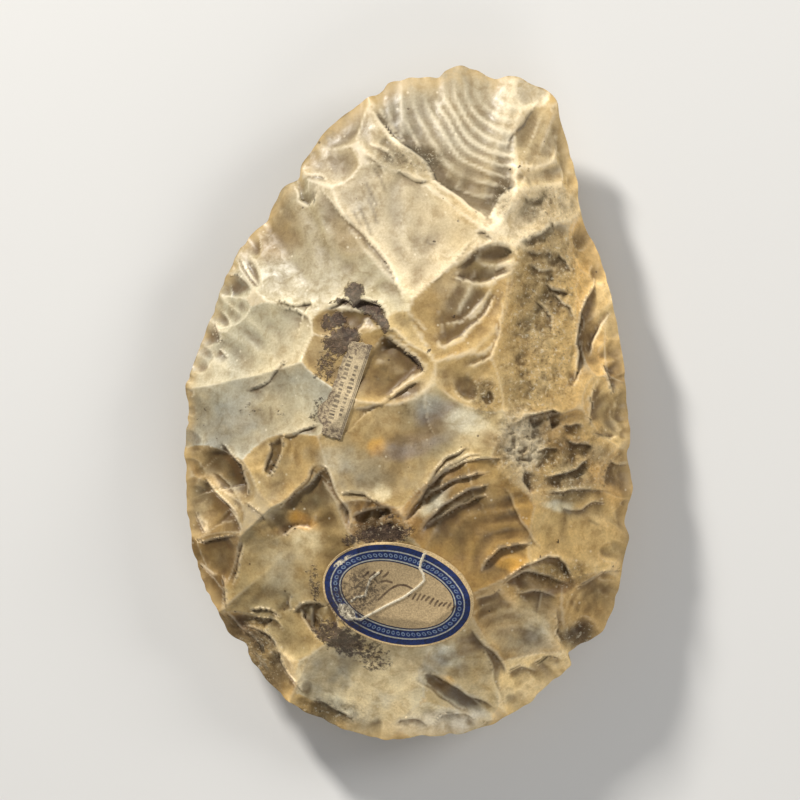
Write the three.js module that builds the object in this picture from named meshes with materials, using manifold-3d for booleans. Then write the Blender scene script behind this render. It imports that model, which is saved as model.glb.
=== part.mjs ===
// A flint hand axe lying on its flatter face, with two old paper labels glued to the upper face.
// Millimetres, +Z up, the point of the axe towards +Y. The origin is on the surface it lies on,
// below the middle of its outline.
//
// The stone is two shallow domes that meet at the cutting edge. Every flake that was struck off
// left a hollow, and neighbouring hollows meet in a sharp ridge.
import * as THREE from "three";
import { mergeVertices } from "three/addons/utils/BufferGeometryUtils.js";
import Module from "manifold-3d";

const wasm = await Module();
wasm.setup();

// Driving dimensions
const length = 150.3;
const breadth = 100.3;
const upperHeight = 21;
const lowerHeight = 14.5;
const seatTrim = 0.6;
const edgeSway = 0.7;

const paper = 0.2;
const glueGap = 0.3;

// The outline, the scars and the labels are placed on an axe of this size, and stretch with it.
const drawn = { length: 150.3, breadth: 100.3 };
const middle = { x: 0, y: -10 };

// The share of the dome's height that stays under the deepest scar.
const core = 0.3;

const cells = { across: 48, along: 66 };

// Clockwise from the point
const outline = [
  [12.5, 75.3], [19, 72.6], [23.5, 73.1], [32.3, 68.5], [34, 63.5], [37.7, 49.5], [38.7, 42.5],
  [43.6, 30.2], [47.5, 13], [49.7, -7], [49.3, -11.5], [50.1, -19.5], [48.6, -26], [49.1, -31],
  [46.3, -45], [43, -51.7], [38.5, -53.8], [35.8, -56], [36.3, -58.8], [32, -62.3], [27, -67],
  [15.3, -73], [-3.5, -75], [-12, -73.6], [-21.5, -70], [-30, -64], [-35.7, -57], [-36.3, -54.5],
  [-41, -50], [-48, -34], [-50.2, -12], [-49.2, -2], [-49.8, 3], [-47.5, 11], [-40, 30],
  [-36, 37], [-31.5, 41.5], [-28.3, 47.7], [-24.6, 50.3], [-23.6, 53.8], [-18, 61],
  [-10.5, 67.3], [-6, 69.5], [-4, 71.7], [2.5, 72.8], [6.5, 72.5], [8.5, 74.2],
];

// A scar is the hollow that one flake left: its middle, its half length along the blow, its half
// width, the blow's bearing in degrees from +X, and its depth. taper narrows it along the blow,
// square fills its corners (over 2) or draws them to points (under 2), and bowl over 2 gives it
// a flat floor and steep sides.
const scar = (x, y, long, wide, turn, deep, shape = {}) => ({
  x, y, long, wide, turn, deep, taper: 0, square: 2, bowl: 2, ...shape,
});

const upperScars = [
  // Round the point
  scar(12, 58, 21, 14.5, -72, 2.9, { taper: -0.5, square: 2.3, bowl: 4 }),
  scar(27.5, 58.5, 9, 7, 50, 2.0),
  scar(27, 69.5, 6, 4.2, -135, 1.3),
  scar(-3, 69, 8, 4.4, -50, 1.7),
  scar(36, 55, 4, 11, 190, 1.8),
  scar(29, 51, 9.5, 3.6, 8, 1.3),
  // The raised knot below the right side of the point
  scar(25.5, 39.5, 9, 5.2, 25, 1.0),
  scar(31.5, 44.5, 7.5, 4.6, 0, 0.8),
  // Upper left
  scar(-3.5, 57.5, 14, 5.5, -42, 1.5),
  scar(-15, 60.5, 4, 9.5, -42, 1.7),
  scar(-18, 54, 8, 6, -40, 1.3),
  scar(-1, 37.5, 20, 15, -18, 2.3, { square: 2.2 }),
  scar(-19, 32, 24, 15, -35, 2.3, { square: 2.2 }),
  scar(0, 14.5, 9, 4.6, -52, 1.4),
  // Down the left edge
  scar(-35, 29.7, 5, 1.9, -62, 2.1),
  scar(-40, 26, 5.5, 4, -10, 1.5),
  scar(-40.5, 20.5, 6, 4.8, -15, 1.6),
  scar(-45.5, 14.5, 4.5, 5, -20, 1.5),
  scar(-34, 12.5, 17, 8.5, 25, 2.0),
  scar(-33.5, -1.5, 20, 10.5, 12, 2.0),
  scar(-41.5, -15.5, 9.5, 5.2, -40, 2.2),
  scar(-44, -23.5, 8.5, 7.5, -40, 2.3),
  scar(-42, -34, 6, 8, -5, 2.0),
  scar(-46, -38, 4, 9, 25, 1.7),
  scar(-31.5, -57.5, 4.5, 10, 36, 2.2, { bowl: 3 }),
  scar(-36, -58, 4, 15, 38, 3.2, { bowl: 4 }),
  scar(-19, -69.5, 3, 9, 62, 2.4),
  // Down the middle
  scar(-8.5, 9, 15, 9, -18, 2.6, { square: 2.6, bowl: 5 }),
  scar(-13.5, 17, 8.5, 5.2, -8, 2.4, { square: 2.6, bowl: 5 }),
  scar(12, 22, 16, 11, 52, 2.6),
  scar(18, 31.5, 7, 4, 20, 3.8, { bowl: 3 }),
  scar(13, 4, 10, 7.5, -45, 1.6),
  scar(0, -9, 23, 13, 20, 2.0),
  scar(-8, -26, 8.5, 5, -20, 1.9),
  // Down the right edge
  scar(29, 16, 23, 10.5, -93, 1.9, { square: 3 }),
  scar(40.5, 34, 4.5, 8, 200, 1.4),
  scar(41, 18, 4.6, 13, 192, 1.9),
  scar(45.5, 13.5, 4.5, 9, 190, 1.6),
  scar(44.5, -1.5, 6, 8, 190, 1.7),
  scar(32, -11, 14, 10, 185, 1.8),
  scar(46.5, -16, 4.5, 6, 180, 1.3),
  scar(37.5, -29, 15, 10, 200, 2.1),
  scar(41, -46, 8.5, 9, 170, 2.0),
  // The butt
  scar(-26, -14, 13, 9, -50, 2.0),
  scar(-24, -34.5, 23, 15, 78, 2.8, { taper: -0.75, square: 1.6, bowl: 4 }),
  scar(-34.5, -48.5, 7, 3, -5, 2.5),
  scar(-21, -48, 5.5, 3.4, -75, 2.7),
  scar(14, -27, 17.5, 14, 125, 2.9),
  scar(-3, -40, 16, 11, 20, 1.8),
  scar(24, -48, 13.5, 12, 110, 2.5),
  scar(-10, -60, 20, 14, 60, 2.3),
  scar(13, -58, 14, 10.5, 80, 2.0),
  scar(9.5, -63.5, 11, 2.8, -38, 2.7),
  scar(27, -61, 11, 9.5, 130, 2.0),
  scar(8, -71, 10, 5, 0, 1.6),
];

const lowerScars = [
  scar(6, 57, 21, 14, -95, 2.6),
  scar(-13, 45, 18, 13, -40, 2.1),
  scar(26, 44, 18, 12, 200, 2.0),
  scar(-30, 22, 20, 14, -20, 2.3),
  scar(32, 17, 19, 15, 190, 2.3),
  scar(2, 24, 17, 12, 60, 1.8),
  scar(-35, -7, 18, 15, 10, 2.2),
  scar(36, -13, 18, 14, 175, 2.3),
  scar(-31, -38, 20, 15, 30, 2.3),
  scar(28, -44, 22, 15, 140, 2.4),
  scar(-2, -58, 20, 17, 90, 2.4),
];

const faces = {
  upper: { sign: 1, height: upperHeight, flatness: 2.3, scars: upperScars, stride: 1 },
  lower: { sign: -1, height: lowerHeight, flatness: 2.6, scars: lowerScars, stride: 2 },
};

// The labels lie on the upper face: an oval one, and the torn remains of a printed strip.
const ovalLabel = { x: -2.3, y: -42.1, long: 34.4, wide: 23, turn: -13 };
const stripLabel = { x: -14.3, y: 3.2, long: 21.5, wide: 5.6, turn: 70, ragged: 0.35 };

const bearings = 720;
const nickWidth = 44;

const bearingOf = (x, y) => Math.atan2(y - middle.y, x - middle.x);
const distanceOf = (x, y) => Math.hypot(x - middle.x, y - middle.y);

function atBearing(table, bearing) {
  const place = ((bearing + Math.PI) / (2 * Math.PI)) * bearings;
  const i = Math.floor(place);
  const part = place - i;
  return table[(i + bearings) % bearings] * (1 - part) + table[(i + 1) % bearings] * part;
}

// The rim's distance from the middle at each bearing.
function rimTable() {
  const corners = outline.map(([x, y]) => new THREE.Vector3(x, y, 0));
  const line = new THREE.CatmullRomCurve3(corners, true, "catmullrom", 0.5);
  const ring = line.getPoints(outline.length * 14)
    .map((p) => ({ bearing: bearingOf(p.x, p.y), distance: distanceOf(p.x, p.y) }))
    .sort((a, b) => a.bearing - b.bearing);
  const table = [];
  let next = 0;
  for (let i = 0; i < bearings; i++) {
    const bearing = (2 * Math.PI * i) / bearings - Math.PI;
    while (next < ring.length && ring[next].bearing < bearing) next++;
    const after = ring[next % ring.length];
    const before = ring[(next + ring.length - 1) % ring.length];
    const turn = (angle) => (angle + 4 * Math.PI) % (2 * Math.PI);
    const part = turn(bearing - before.bearing) / Math.max(turn(after.bearing - before.bearing), 1e-9);
    table.push(THREE.MathUtils.lerp(before.distance, after.distance, part));
  }
  return table;
}

// The same rim with its nicks smoothed away, for the surface further in.
function smoothed(table) {
  return table.map((_, i) => {
    let sum = 0;
    let weights = 0;
    for (let k = -nickWidth; k <= nickWidth; k++) {
      const weight = 1 + Math.cos((Math.PI * k) / nickWidth);
      sum += weight * table[(i + k + bearings) % bearings];
      weights += weight;
    }
    return sum / weights;
  });
}

const rim = rimTable();
const smoothRim = smoothed(rim);

// How far out a place is, from 0 in the middle to 1 on the rim.
function shareOut(x, y) {
  const bearing = bearingOf(x, y);
  const distance = distanceOf(x, y);
  const edge = atBearing(rim, bearing);
  const even = atBearing(smoothRim, bearing);
  return distance / (even + (edge - even) * Math.min(distance / edge, 1) ** 5);
}

function depthOf(s, x, y) {
  const turn = THREE.MathUtils.degToRad(s.turn);
  const [dx, dy] = [x - s.x, y - s.y];
  const u = (dx * Math.cos(turn) + dy * Math.sin(turn)) / s.long;
  const width = s.wide * Math.max(1 + s.taper * u, 0.15);
  const v = (dy * Math.cos(turn) - dx * Math.sin(turn)) / width;
  const q = (Math.abs(u) ** s.square + Math.abs(v) ** s.square) ** (1 / s.square);
  return s.deep * (1 - q ** s.bowl);
}

// The two deepest scars at a place. The first is the surface, and where they are equal is a ridge.
function deepest(scars, x, y) {
  let first = 0;
  let second = 0;
  for (const s of scars) {
    const depth = depthOf(s, x, y);
    second = Math.max(second, Math.min(first, depth));
    first = Math.max(first, depth);
  }
  return { first, second };
}

// The cutting edge dips where a scar of the upper face reaches it, and rises over one of the lower.
function edgeTable() {
  return rim.map((distance, i) => {
    const bearing = (2 * Math.PI * i) / bearings - Math.PI;
    const x = middle.x + distance * Math.cos(bearing);
    const y = middle.y + distance * Math.sin(bearing);
    return edgeSway * (deepest(lowerScars, x, y).first - deepest(upperScars, x, y).first);
  });
}

const edge = edgeTable();
const edgeHeight = (x, y) => atBearing(edge, bearingOf(x, y)) * shareOut(x, y) ** 4;

// The lowest point is cut off flat: the axe lies on it.
const seatHeight = seatTrim - lowerHeight;

function heightAt(face, x, y) {
  const dome = face.height * Math.max(1 - shareOut(x, y) ** face.flatness, 0);
  const room = Math.max((1 - core) * dome, 1e-6);
  const off = core * dome + room * Math.exp(-deepest(face.scars, x, y).first / room);
  const z = edgeHeight(x, y) + face.sign * off;
  return face === faces.lower ? Math.max(z, seatHeight) : z;
}

// A square grid spread over the outline, so that its cells stay even.
function gridPlace(i, j) {
  const u = (2 * i) / cells.across - 1;
  const v = (2 * j) / cells.along - 1;
  const dx = u * Math.sqrt(1 - (v * v) / 2);
  const dy = v * Math.sqrt(1 - (u * u) / 2);
  const bearing = Math.atan2(dy, dx);
  const share = Math.min(Math.hypot(dx, dy), 1);
  const even = atBearing(smoothRim, bearing);
  const distance = share * (even + (atBearing(rim, bearing) - even) * share ** 5);
  return [middle.x + distance * Math.cos(bearing), middle.y + distance * Math.sin(bearing)];
}

// Moves a place that is near a ridge onto it, so that the ridge is one clean row of edges.
function ontoRidge(face, [x, y], reach) {
  const step = 0.01;
  const gap = (px, py) => {
    const { first, second } = deepest(face.scars, px, py);
    return first - second;
  };
  const here = gap(x, y);
  const slope = new THREE.Vector2(gap(x + step, y) - here, gap(x, y + step) - here).divideScalar(step);
  const move = slope.clone().multiplyScalar(-here / Math.max(slope.lengthSq(), 1e-8));
  return move.length() > reach ? [x, y] : [x + move.x, y + move.y];
}

const onRim = (i, j) => i === 0 || j === 0 || i === cells.across || j === cells.along;

// The corners of one cell of the grid, with every point of the rim that it touches.
function cellCorners(i, j, stride) {
  const loop = [];
  for (let k = 0; k < stride; k++) loop.push([i + k, j]);
  for (let k = 0; k < stride; k++) loop.push([i + stride, j + k]);
  for (let k = 0; k < stride; k++) loop.push([i + stride - k, j + stride]);
  for (let k = 0; k < stride; k++) loop.push([i, j + stride - k]);
  const kept = loop.filter(([a, b]) => onRim(a, b) || (a % stride === 0 && b % stride === 0));
  const inner = Math.max(kept.findIndex(([a, b]) => !onRim(a, b)), 0);
  return [...kept.slice(inner), ...kept.slice(0, inner)];
}

// Both faces share the rim's points, and the lower face, which is plainer, skips every other line.
function stoneGeometry() {
  const points = [];
  const triangles = [];
  const rimIndex = new Map();

  for (const face of Object.values(faces)) {
    const reach = (0.3 * face.stride * breadth) / cells.across;
    const index = new Map(rimIndex);
    for (let j = 0; j <= cells.along; j++)
      for (let i = 0; i <= cells.across; i++) {
        const key = i + "," + j;
        if (index.has(key) || (!onRim(i, j) && (i % face.stride || j % face.stride))) continue;
        const place = gridPlace(i, j);
        const [x, y] = onRim(i, j) ? place : ontoRidge(face, place, reach);
        index.set(key, points.length);
        if (onRim(i, j)) rimIndex.set(key, points.length);
        points.push([x, y, onRim(i, j) ? edgeHeight(x, y) : heightAt(face, x, y)]);
      }

    // A cell is cut along the diagonal that lies closer to the surface.
    const misfit = (a, b) => {
      const [p, q] = [points[a], points[b]];
      const between = heightAt(face, (p[0] + q[0]) / 2, (p[1] + q[1]) / 2);
      return Math.abs(between - (p[2] + q[2]) / 2);
    };
    for (let j = 0; j < cells.along; j += face.stride)
      for (let i = 0; i < cells.across; i += face.stride) {
        const places = cellCorners(i, j, face.stride);
        const loop = places.map(([a, b]) => index.get(a + "," + b));
        const free = places.length === 4 && places.every(([a, b]) => !onRim(a, b));
        if (free && misfit(loop[1], loop[3]) < misfit(loop[0], loop[2])) loop.push(loop.shift());
        for (let k = 1; k + 1 < loop.length; k++) {
          const [a, b, c] = [loop[0], loop[k], loop[k + 1]];
          triangles.push(...(face === faces.upper ? [a, b, c] : [a, c, b]));
        }
      }
  }

  const stretchX = breadth / drawn.breadth;
  const stretchY = length / drawn.length;
  const flat = points.flatMap(([x, y, z]) => [x * stretchX, y * stretchY, z - seatHeight]);
  const geometry = new THREE.BufferGeometry();
  geometry.setAttribute("position", new THREE.Float32BufferAttribute(flat, 3));
  geometry.setIndex(triangles);
  return geometry;
}

// A closed mesh as a solid that can be cut.
function solidOf(geometry) {
  const bare = geometry.clone();
  bare.deleteAttribute("normal");
  bare.deleteAttribute("uv");
  const merged = mergeVertices(bare, 1e-4);
  return new wasm.Manifold(new wasm.Mesh({
    numProp: 3,
    vertProperties: merged.attributes.position.array,
    triVerts: new Uint32Array(merged.index.array),
  }));
}

function geometryOf(solid) {
  const mesh = solid.getMesh();
  const geometry = new THREE.BufferGeometry();
  geometry.setAttribute("position", new THREE.BufferAttribute(mesh.vertProperties, 3));
  geometry.setIndex(new THREE.BufferAttribute(mesh.triVerts, 1));
  return geometry;
}

// A sheet of paper of this outline that follows the stone's upper face.
function labelGeometry(stone, shape, { x, y, turn }) {
  const column = new THREE.ExtrudeGeometry(shape, {
    depth: 2 * (upperHeight + lowerHeight), bevelEnabled: false,
  });
  column.rotateZ(THREE.MathUtils.degToRad(turn));
  column.translate((x * breadth) / drawn.breadth, (y * length) / drawn.length, lowerHeight - seatTrim);
  const under = stone.translate([0, 0, glueGap]);
  const over = stone.translate([0, 0, glueGap + paper]);
  return geometryOf(solidOf(column).intersect(over).subtract(under));
}

function ovalShape({ long, wide }) {
  const steps = 48;
  const points = [];
  for (let k = 0; k < steps; k++) {
    const angle = (2 * Math.PI * k) / steps;
    points.push(new THREE.Vector2((long / 2) * Math.cos(angle), (wide / 2) * Math.sin(angle)));
  }
  return new THREE.Shape(points);
}

// The strip's long sides are cut straight, and its ends are torn.
function stripShape({ long, wide, ragged }) {
  const steps = 8;
  const torn = (k) => ragged * (Math.sin(2.3 * k) + Math.sin(5.1 * k + 1));
  const points = [];
  for (let k = 0; k <= steps; k++)
    points.push(new THREE.Vector2(long / 2 + torn(k), wide * (k / steps - 0.5)));
  for (let k = 0; k <= steps; k++)
    points.push(new THREE.Vector2(-long / 2 + torn(k + steps), wide * (0.5 - k / steps)));
  return new THREE.Shape(points);
}

const part = new THREE.Group();

function add(name, geometry, color, roughness) {
  const material = new THREE.MeshStandardMaterial({ color, roughness, metalness: 0 });
  const mesh = new THREE.Mesh(geometry, material);
  mesh.name = name;
  part.add(mesh);
}

const stone = stoneGeometry();
const stoneSolid = solidOf(stone);
add("hand_axe", stone, 0xc9b48a, 0.55);
add("oval_label", labelGeometry(stoneSolid, ovalShape(ovalLabel), ovalLabel), 0xb9a67e, 0.9);
add("strip_label", labelGeometry(stoneSolid, stripShape(stripLabel), stripLabel), 0xbfae88, 0.9);

export default part;
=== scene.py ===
import math

import bpy
import numpy as np
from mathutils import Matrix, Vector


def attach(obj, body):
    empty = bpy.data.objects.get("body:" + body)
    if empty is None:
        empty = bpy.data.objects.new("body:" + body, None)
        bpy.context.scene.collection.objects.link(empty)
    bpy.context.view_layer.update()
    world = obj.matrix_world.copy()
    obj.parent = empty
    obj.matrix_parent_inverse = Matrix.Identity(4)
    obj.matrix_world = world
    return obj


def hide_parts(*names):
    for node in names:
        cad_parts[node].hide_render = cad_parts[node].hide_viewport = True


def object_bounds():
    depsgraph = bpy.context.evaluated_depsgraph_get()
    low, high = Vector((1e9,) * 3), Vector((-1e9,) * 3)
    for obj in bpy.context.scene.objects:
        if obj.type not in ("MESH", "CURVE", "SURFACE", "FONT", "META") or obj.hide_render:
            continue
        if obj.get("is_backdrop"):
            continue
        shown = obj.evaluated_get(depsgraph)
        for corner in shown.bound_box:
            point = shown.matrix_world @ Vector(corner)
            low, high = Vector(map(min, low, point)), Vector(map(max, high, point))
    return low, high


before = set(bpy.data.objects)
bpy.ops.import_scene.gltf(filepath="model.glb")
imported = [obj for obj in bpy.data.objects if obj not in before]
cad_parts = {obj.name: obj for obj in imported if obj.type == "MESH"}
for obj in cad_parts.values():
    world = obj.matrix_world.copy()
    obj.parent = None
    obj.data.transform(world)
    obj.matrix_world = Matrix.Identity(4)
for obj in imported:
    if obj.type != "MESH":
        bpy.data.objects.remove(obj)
cadLow, cadHigh = (list(corner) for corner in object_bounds())
print("frame loaded")

mm, metre = 0.001, 1000
farAway, hairWidth, tiny = 1e9, 1e-6, 1e-9

# the form of the axe, in millimetres, with +Y towards its point
form = {
    "middle": (0, -10),
    "upperHeight": 21,
    "lowerHeight": 14.5,
    "upperFlatness": 2.3,
    "lowerFlatness": 2.6,
    "seatTrim": 0.6,
    "edgeSway": 0.7,
    "core": 0.3,  # the share of the dome that no scar cuts away
    "wornRidge": 0.1,
    "warp": 0.9,  # how far the scars' edges waver
    "warpSize": 11,
    "rimPlaces": 1440,
    "rimBetween": 28,  # places between two corners of the outline
    "rimSmooth": 88,  # places each way
    "bendFade": 5,  # each fade is a power of the share of the way out
    "nickFade": 50,
    "swayFade": 6,
    "raggedFade": 40,
    "cellsAcross": 224,
    "cellsAlong": 320,
    "rimCell": 0.9999,  # a point further out on the sheet is on the rim
    "drawnShare": 0.985,  # a point further out stays where it is beside a step
}
seatHeight = form["seatTrim"] - form["lowerHeight"]

# the corners of the outline, clockwise from the point
outline = [
    (12.5, 75.3), (19, 72.6), (23.5, 73.1), (32.3, 68.5), (34, 63.5), (37.7, 49.5), (38.7, 42.5),
    (43.6, 30.2), (47.5, 13), (49.7, -7), (49.3, -11.5), (50.1, -19.5), (48.6, -26), (49.1, -31),
    (46.3, -45), (43, -51.7), (38.5, -53.8), (35.8, -56), (36.3, -58.8), (32, -62.3), (27, -67),
    (15.3, -73), (-3.5, -75), (-12, -73.6), (-21.5, -70), (-30, -64), (-35.7, -57), (-36.3, -54.5),
    (-41, -50), (-48, -34), (-50.2, -12), (-49.2, -2), (-49.8, 3), (-47.5, 11), (-40, 30),
    (-36, 37), (-31.5, 41.5), (-28.3, 47.7), (-24.6, 50.3), (-23.6, 53.8), (-18, 61),
    (-10.5, 67.3), (-6, 69.5), (-4, 71.7), (2.5, 72.8), (6.5, 72.5), (8.5, 74.2),
]


# one flake's hollow: middle, half length along the blow, half width, bearing, depth, and its colour
def scar(x, y, long, wide, turn, deep, tint=None, **shape):
    row = {"taper": 0, "square": 2, "bowl": 2, "ripple": None, "steady": 0}
    row.update(shape)
    row.update(x=x, y=y, long=long, wide=wide, turn=turn, deep=deep, tint=tint)
    return row


# ripple: the blow's own point, the wave's length and height, and the distances over which it sets in
# steady: how far its rings are even all round, from 0 to 1
upperScars = [
    scar(12, 58, 21, 14.5, -72, 2.9, "ivory", taper=-0.5, square=2.3, bowl=4,
         ripple=(24, 72, 2.75, 0.42, 38, 13), steady=0.7),
    scar(27.5, 58.5, 9, 7, 50, 2.0, "straw"),
    scar(27, 69.5, 6, 4.2, -135, 1.3, "ivory"),
    scar(-3, 69, 8, 4.4, -50, 1.7, "ivory", ripple=(-5, 72, 2.0, 0.12)),
    scar(36, 55, 4, 11, 190, 1.8, "sand", ripple=(38, 55, 1.6, 0.12)),
    scar(29, 51, 9.5, 3.6, 8, 1.3, "straw"),
    scar(25.5, 39.5, 9, 5.2, 25, 1.0, "cream"),
    scar(31.5, 44.5, 7.5, 4.6, 0, 0.8, "straw"),
    scar(-3.5, 57.5, 14, 5.5, -42, 1.5, "cream", ripple=(6, 50, 2.2, 0.2)),
    scar(-15, 60.5, 4, 9.5, -42, 1.7, "straw", ripple=(-18, 64, 1.8, 0.14)),
    scar(-18, 54, 8, 6, -40, 1.3, "straw", ripple=(-24, 56, 2.4, 0.12)),
    scar(-1, 37.5, 20, 15, -18, 2.3, "cream", square=2.2, ripple=(-18, 48, 5, 0.05)),
    scar(-19, 32, 24, 15, -35, 2.3, "greyCream", square=2.2, ripple=(-36, 42, 6, 0.06)),
    scar(0, 14.5, 9, 4.6, -52, 1.4, "sand"),
    scar(-35, 29.7, 5, 1.9, -62, 2.1, "ivory"),
    scar(-40, 26, 5.5, 4, -10, 1.5, "paleGrey"),
    scar(-40.5, 20.5, 6, 4.8, -15, 1.6, "paleGrey", ripple=(-46, 21, 2.2, 0.12)),
    scar(-45.5, 14.5, 4.5, 5, -20, 1.5, "ivory"),
    scar(-34, 12.5, 17, 8.5, 25, 2.0, "paleGrey", ripple=(-50, 4, 4, 0.06)),
    scar(-33.5, -1.5, 20, 10.5, 12, 2.0, "blueGrey", ripple=(-50, -6, 5, 0.06)),
    scar(-41.5, -15.5, 9.5, 5.2, -40, 2.2, "brown", ripple=(-51, -10, 3.2, 0.04)),
    scar(-44, -23.5, 8.5, 7.5, -40, 2.3, "brown", ripple=(-51, -18, 3.2, 0.04)),
    scar(-42, -34, 6, 8, -5, 2.0, "brown", ripple=(-50, -34, 2.6, 0.14)),
    scar(-46, -38, 4, 9, 25, 1.7, "umber"),
    scar(-31.5, -57.5, 4.5, 10, 36, 2.2, "brown", bowl=3, ripple=(-37, -62, 1.8, 0.3)),
    scar(-36, -58, 4, 15, 38, 3.2, "umber", bowl=4, ripple=(-40, -58, 1.5, 0.2)),
    scar(-19, -69.5, 3, 9, 62, 2.4, "tan", ripple=(-21, -73, 1.5, 0.2)),
    scar(-8.5, 9, 15, 9, -18, 2.3, "tan", square=2.6, bowl=4),
    scar(-13.5, 17, 8.5, 5.2, -8, 2.0, "tan", square=2.6, bowl=4),
    scar(12, 22, 16, 11, 52, 2.6, "tan", ripple=(3, 31, 5.2, 0.3)),
    scar(17.5, 31.2, 7.5, 4, 20, 1.7, "sand", bowl=2),
    scar(13, 4, 10, 7.5, -45, 1.6, "tan", ripple=(6, 10, 3.2, 0.1)),
    scar(0, -9, 23, 13, 20, 2.0, "olive", ripple=(24, 0, 7, 0.05)),
    scar(-8, -26, 8.5, 5, -20, 1.9, "umber", ripple=(2, -30, 2.4, 0.1)),
    scar(29, 16, 23, 10.5, -93, 1.9, "tan", square=3),
    scar(40.5, 34, 4.5, 8, 200, 1.4, "ochre"),
    scar(41, 18, 4.6, 13, 192, 1.9, "ochre", ripple=(48, 22, 3.6, 0.2)),
    scar(45.5, 13.5, 4.5, 9, 190, 1.6, "ochre", ripple=(49, 14, 2, 0.12)),
    scar(44.5, -1.5, 6, 8, 190, 1.7, "tan", ripple=(51, -2, 2.4, 0.2)),
    scar(32, -11, 14, 10, 185, 1.8, "brown", ripple=(48, -12, 3.4, 0.12)),
    scar(46.5, -16, 4.5, 6, 180, 1.3, "brown", ripple=(50, -16, 1.6, 0.12)),
    scar(37.5, -29, 15, 10, 200, 2.1, "tan", ripple=(51, -24, 4, 0.12)),
    scar(41, -46, 8.5, 9, 170, 2.0, "brown", ripple=(48, -48, 2.6, 0.14)),
    scar(-26, -14, 13, 9, -50, 2.0, "tan", ripple=(-36, -5, 3.4, 0.1)),
    scar(-24, -34.5, 23, 15, 78, 2.8, "olive", taper=-0.75, square=1.6, bowl=4,
         ripple=(-30, -58, 5, 0.07)),
    scar(-34.5, -48.5, 7, 3, -5, 2.5, "tan", ripple=(-36, -52, 1.6, 0.2)),
    scar(-21, -48, 5.5, 3.4, -75, 2.7, "olive", ripple=(-20, -55, 1.5, 0.18)),
    scar(14, -27, 17.5, 14, 125, 2.9, "amber", ripple=(24, -40, 4.1, 0.16)),
    scar(-3, -40, 16, 11, 20, 1.8, "olive"),
    scar(24, -48, 13.5, 12, 110, 2.5, "brown", ripple=(26, -61, 3.4, 0.16)),
    scar(-10, -60, 20, 14, 60, 2.3, "greyStraw", ripple=(-22, -78, 6, 0.08)),
    scar(13, -58, 14, 10.5, 80, 2.0, "olive", ripple=(10, -75, 4.5, 0.14)),
    scar(9.5, -63.5, 11, 3.2, -38, 2.15, "greyStraw", ripple=(20, -70, 2.2, 0.1)),
    scar(27, -61, 11, 9.5, 130, 2.0, "sand", ripple=(34, -70, 3.2, 0.16)),
    scar(8, -71, 10, 5, 0, 1.6, "greyStraw", ripple=(8, -78, 3, 0.1)),
]

# the under face, which the photograph does not show
lowerScars = [
    scar(6, 57, 21, 14, -95, 2.6, "cream", ripple=(4, 80, 4, 0.1)),
    scar(-13, 45, 18, 13, -40, 2.1, "straw", ripple=(-30, 60, 4, 0.1)),
    scar(26, 44, 18, 12, 200, 2.0, "straw", ripple=(44, 50, 4, 0.1)),
    scar(-30, 22, 20, 14, -20, 2.3, "sand", ripple=(-52, 30, 4, 0.12)),
    scar(32, 17, 19, 15, 190, 2.3, "sand", ripple=(54, 22, 4, 0.1)),
    scar(2, 24, 17, 12, 60, 1.8, "tan"),
    scar(-35, -7, 18, 15, 10, 2.2, "tan", ripple=(-54, -10, 4, 0.12)),
    scar(36, -13, 18, 14, 175, 2.3, "tan", ripple=(55, -14, 4, 0.1)),
    scar(-31, -38, 20, 15, 30, 2.3, "olive", ripple=(-50, -50, 4, 0.12)),
    scar(28, -44, 22, 15, 140, 2.4, "brown", ripple=(44, -60, 4, 0.12)),
    scar(-2, -58, 20, 17, 90, 2.4, "olive", ripple=(-2, -80, 4, 0.1)),
]

# smaller chips and steps, cut into the big scars
upperChips = [
    scar(-6, 59, 3, 2, -45, 0.4),
    scar(-30, 45, 3, 2, -40, 0.4),
    scar(12, 4, 4, 2.4, -60, 0.4),
    scar(17, 1.8, 2.4, 1.6, -70, 0.55),
    scar(36.5, 20, 2.2, 5, 10, 0.6),
    scar(30, 31.5, 4, 2, 15, 0.4),
    scar(36, 8, 2, 5, -4, 0.5),
    scar(39.4, -53.4, 5.2, 3.8, -45, 2.6),
    scar(24.3, 50, 1.2, 0.8, 10, 0.6),
    scar(-40, -20, 1.4, 5.5, 38, 0.5),
    scar(-17.5, -47, 1.4, 4, 12, 0.4),
    scar(1, -22, 1.6, 5, -35, 0.4),
]

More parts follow.
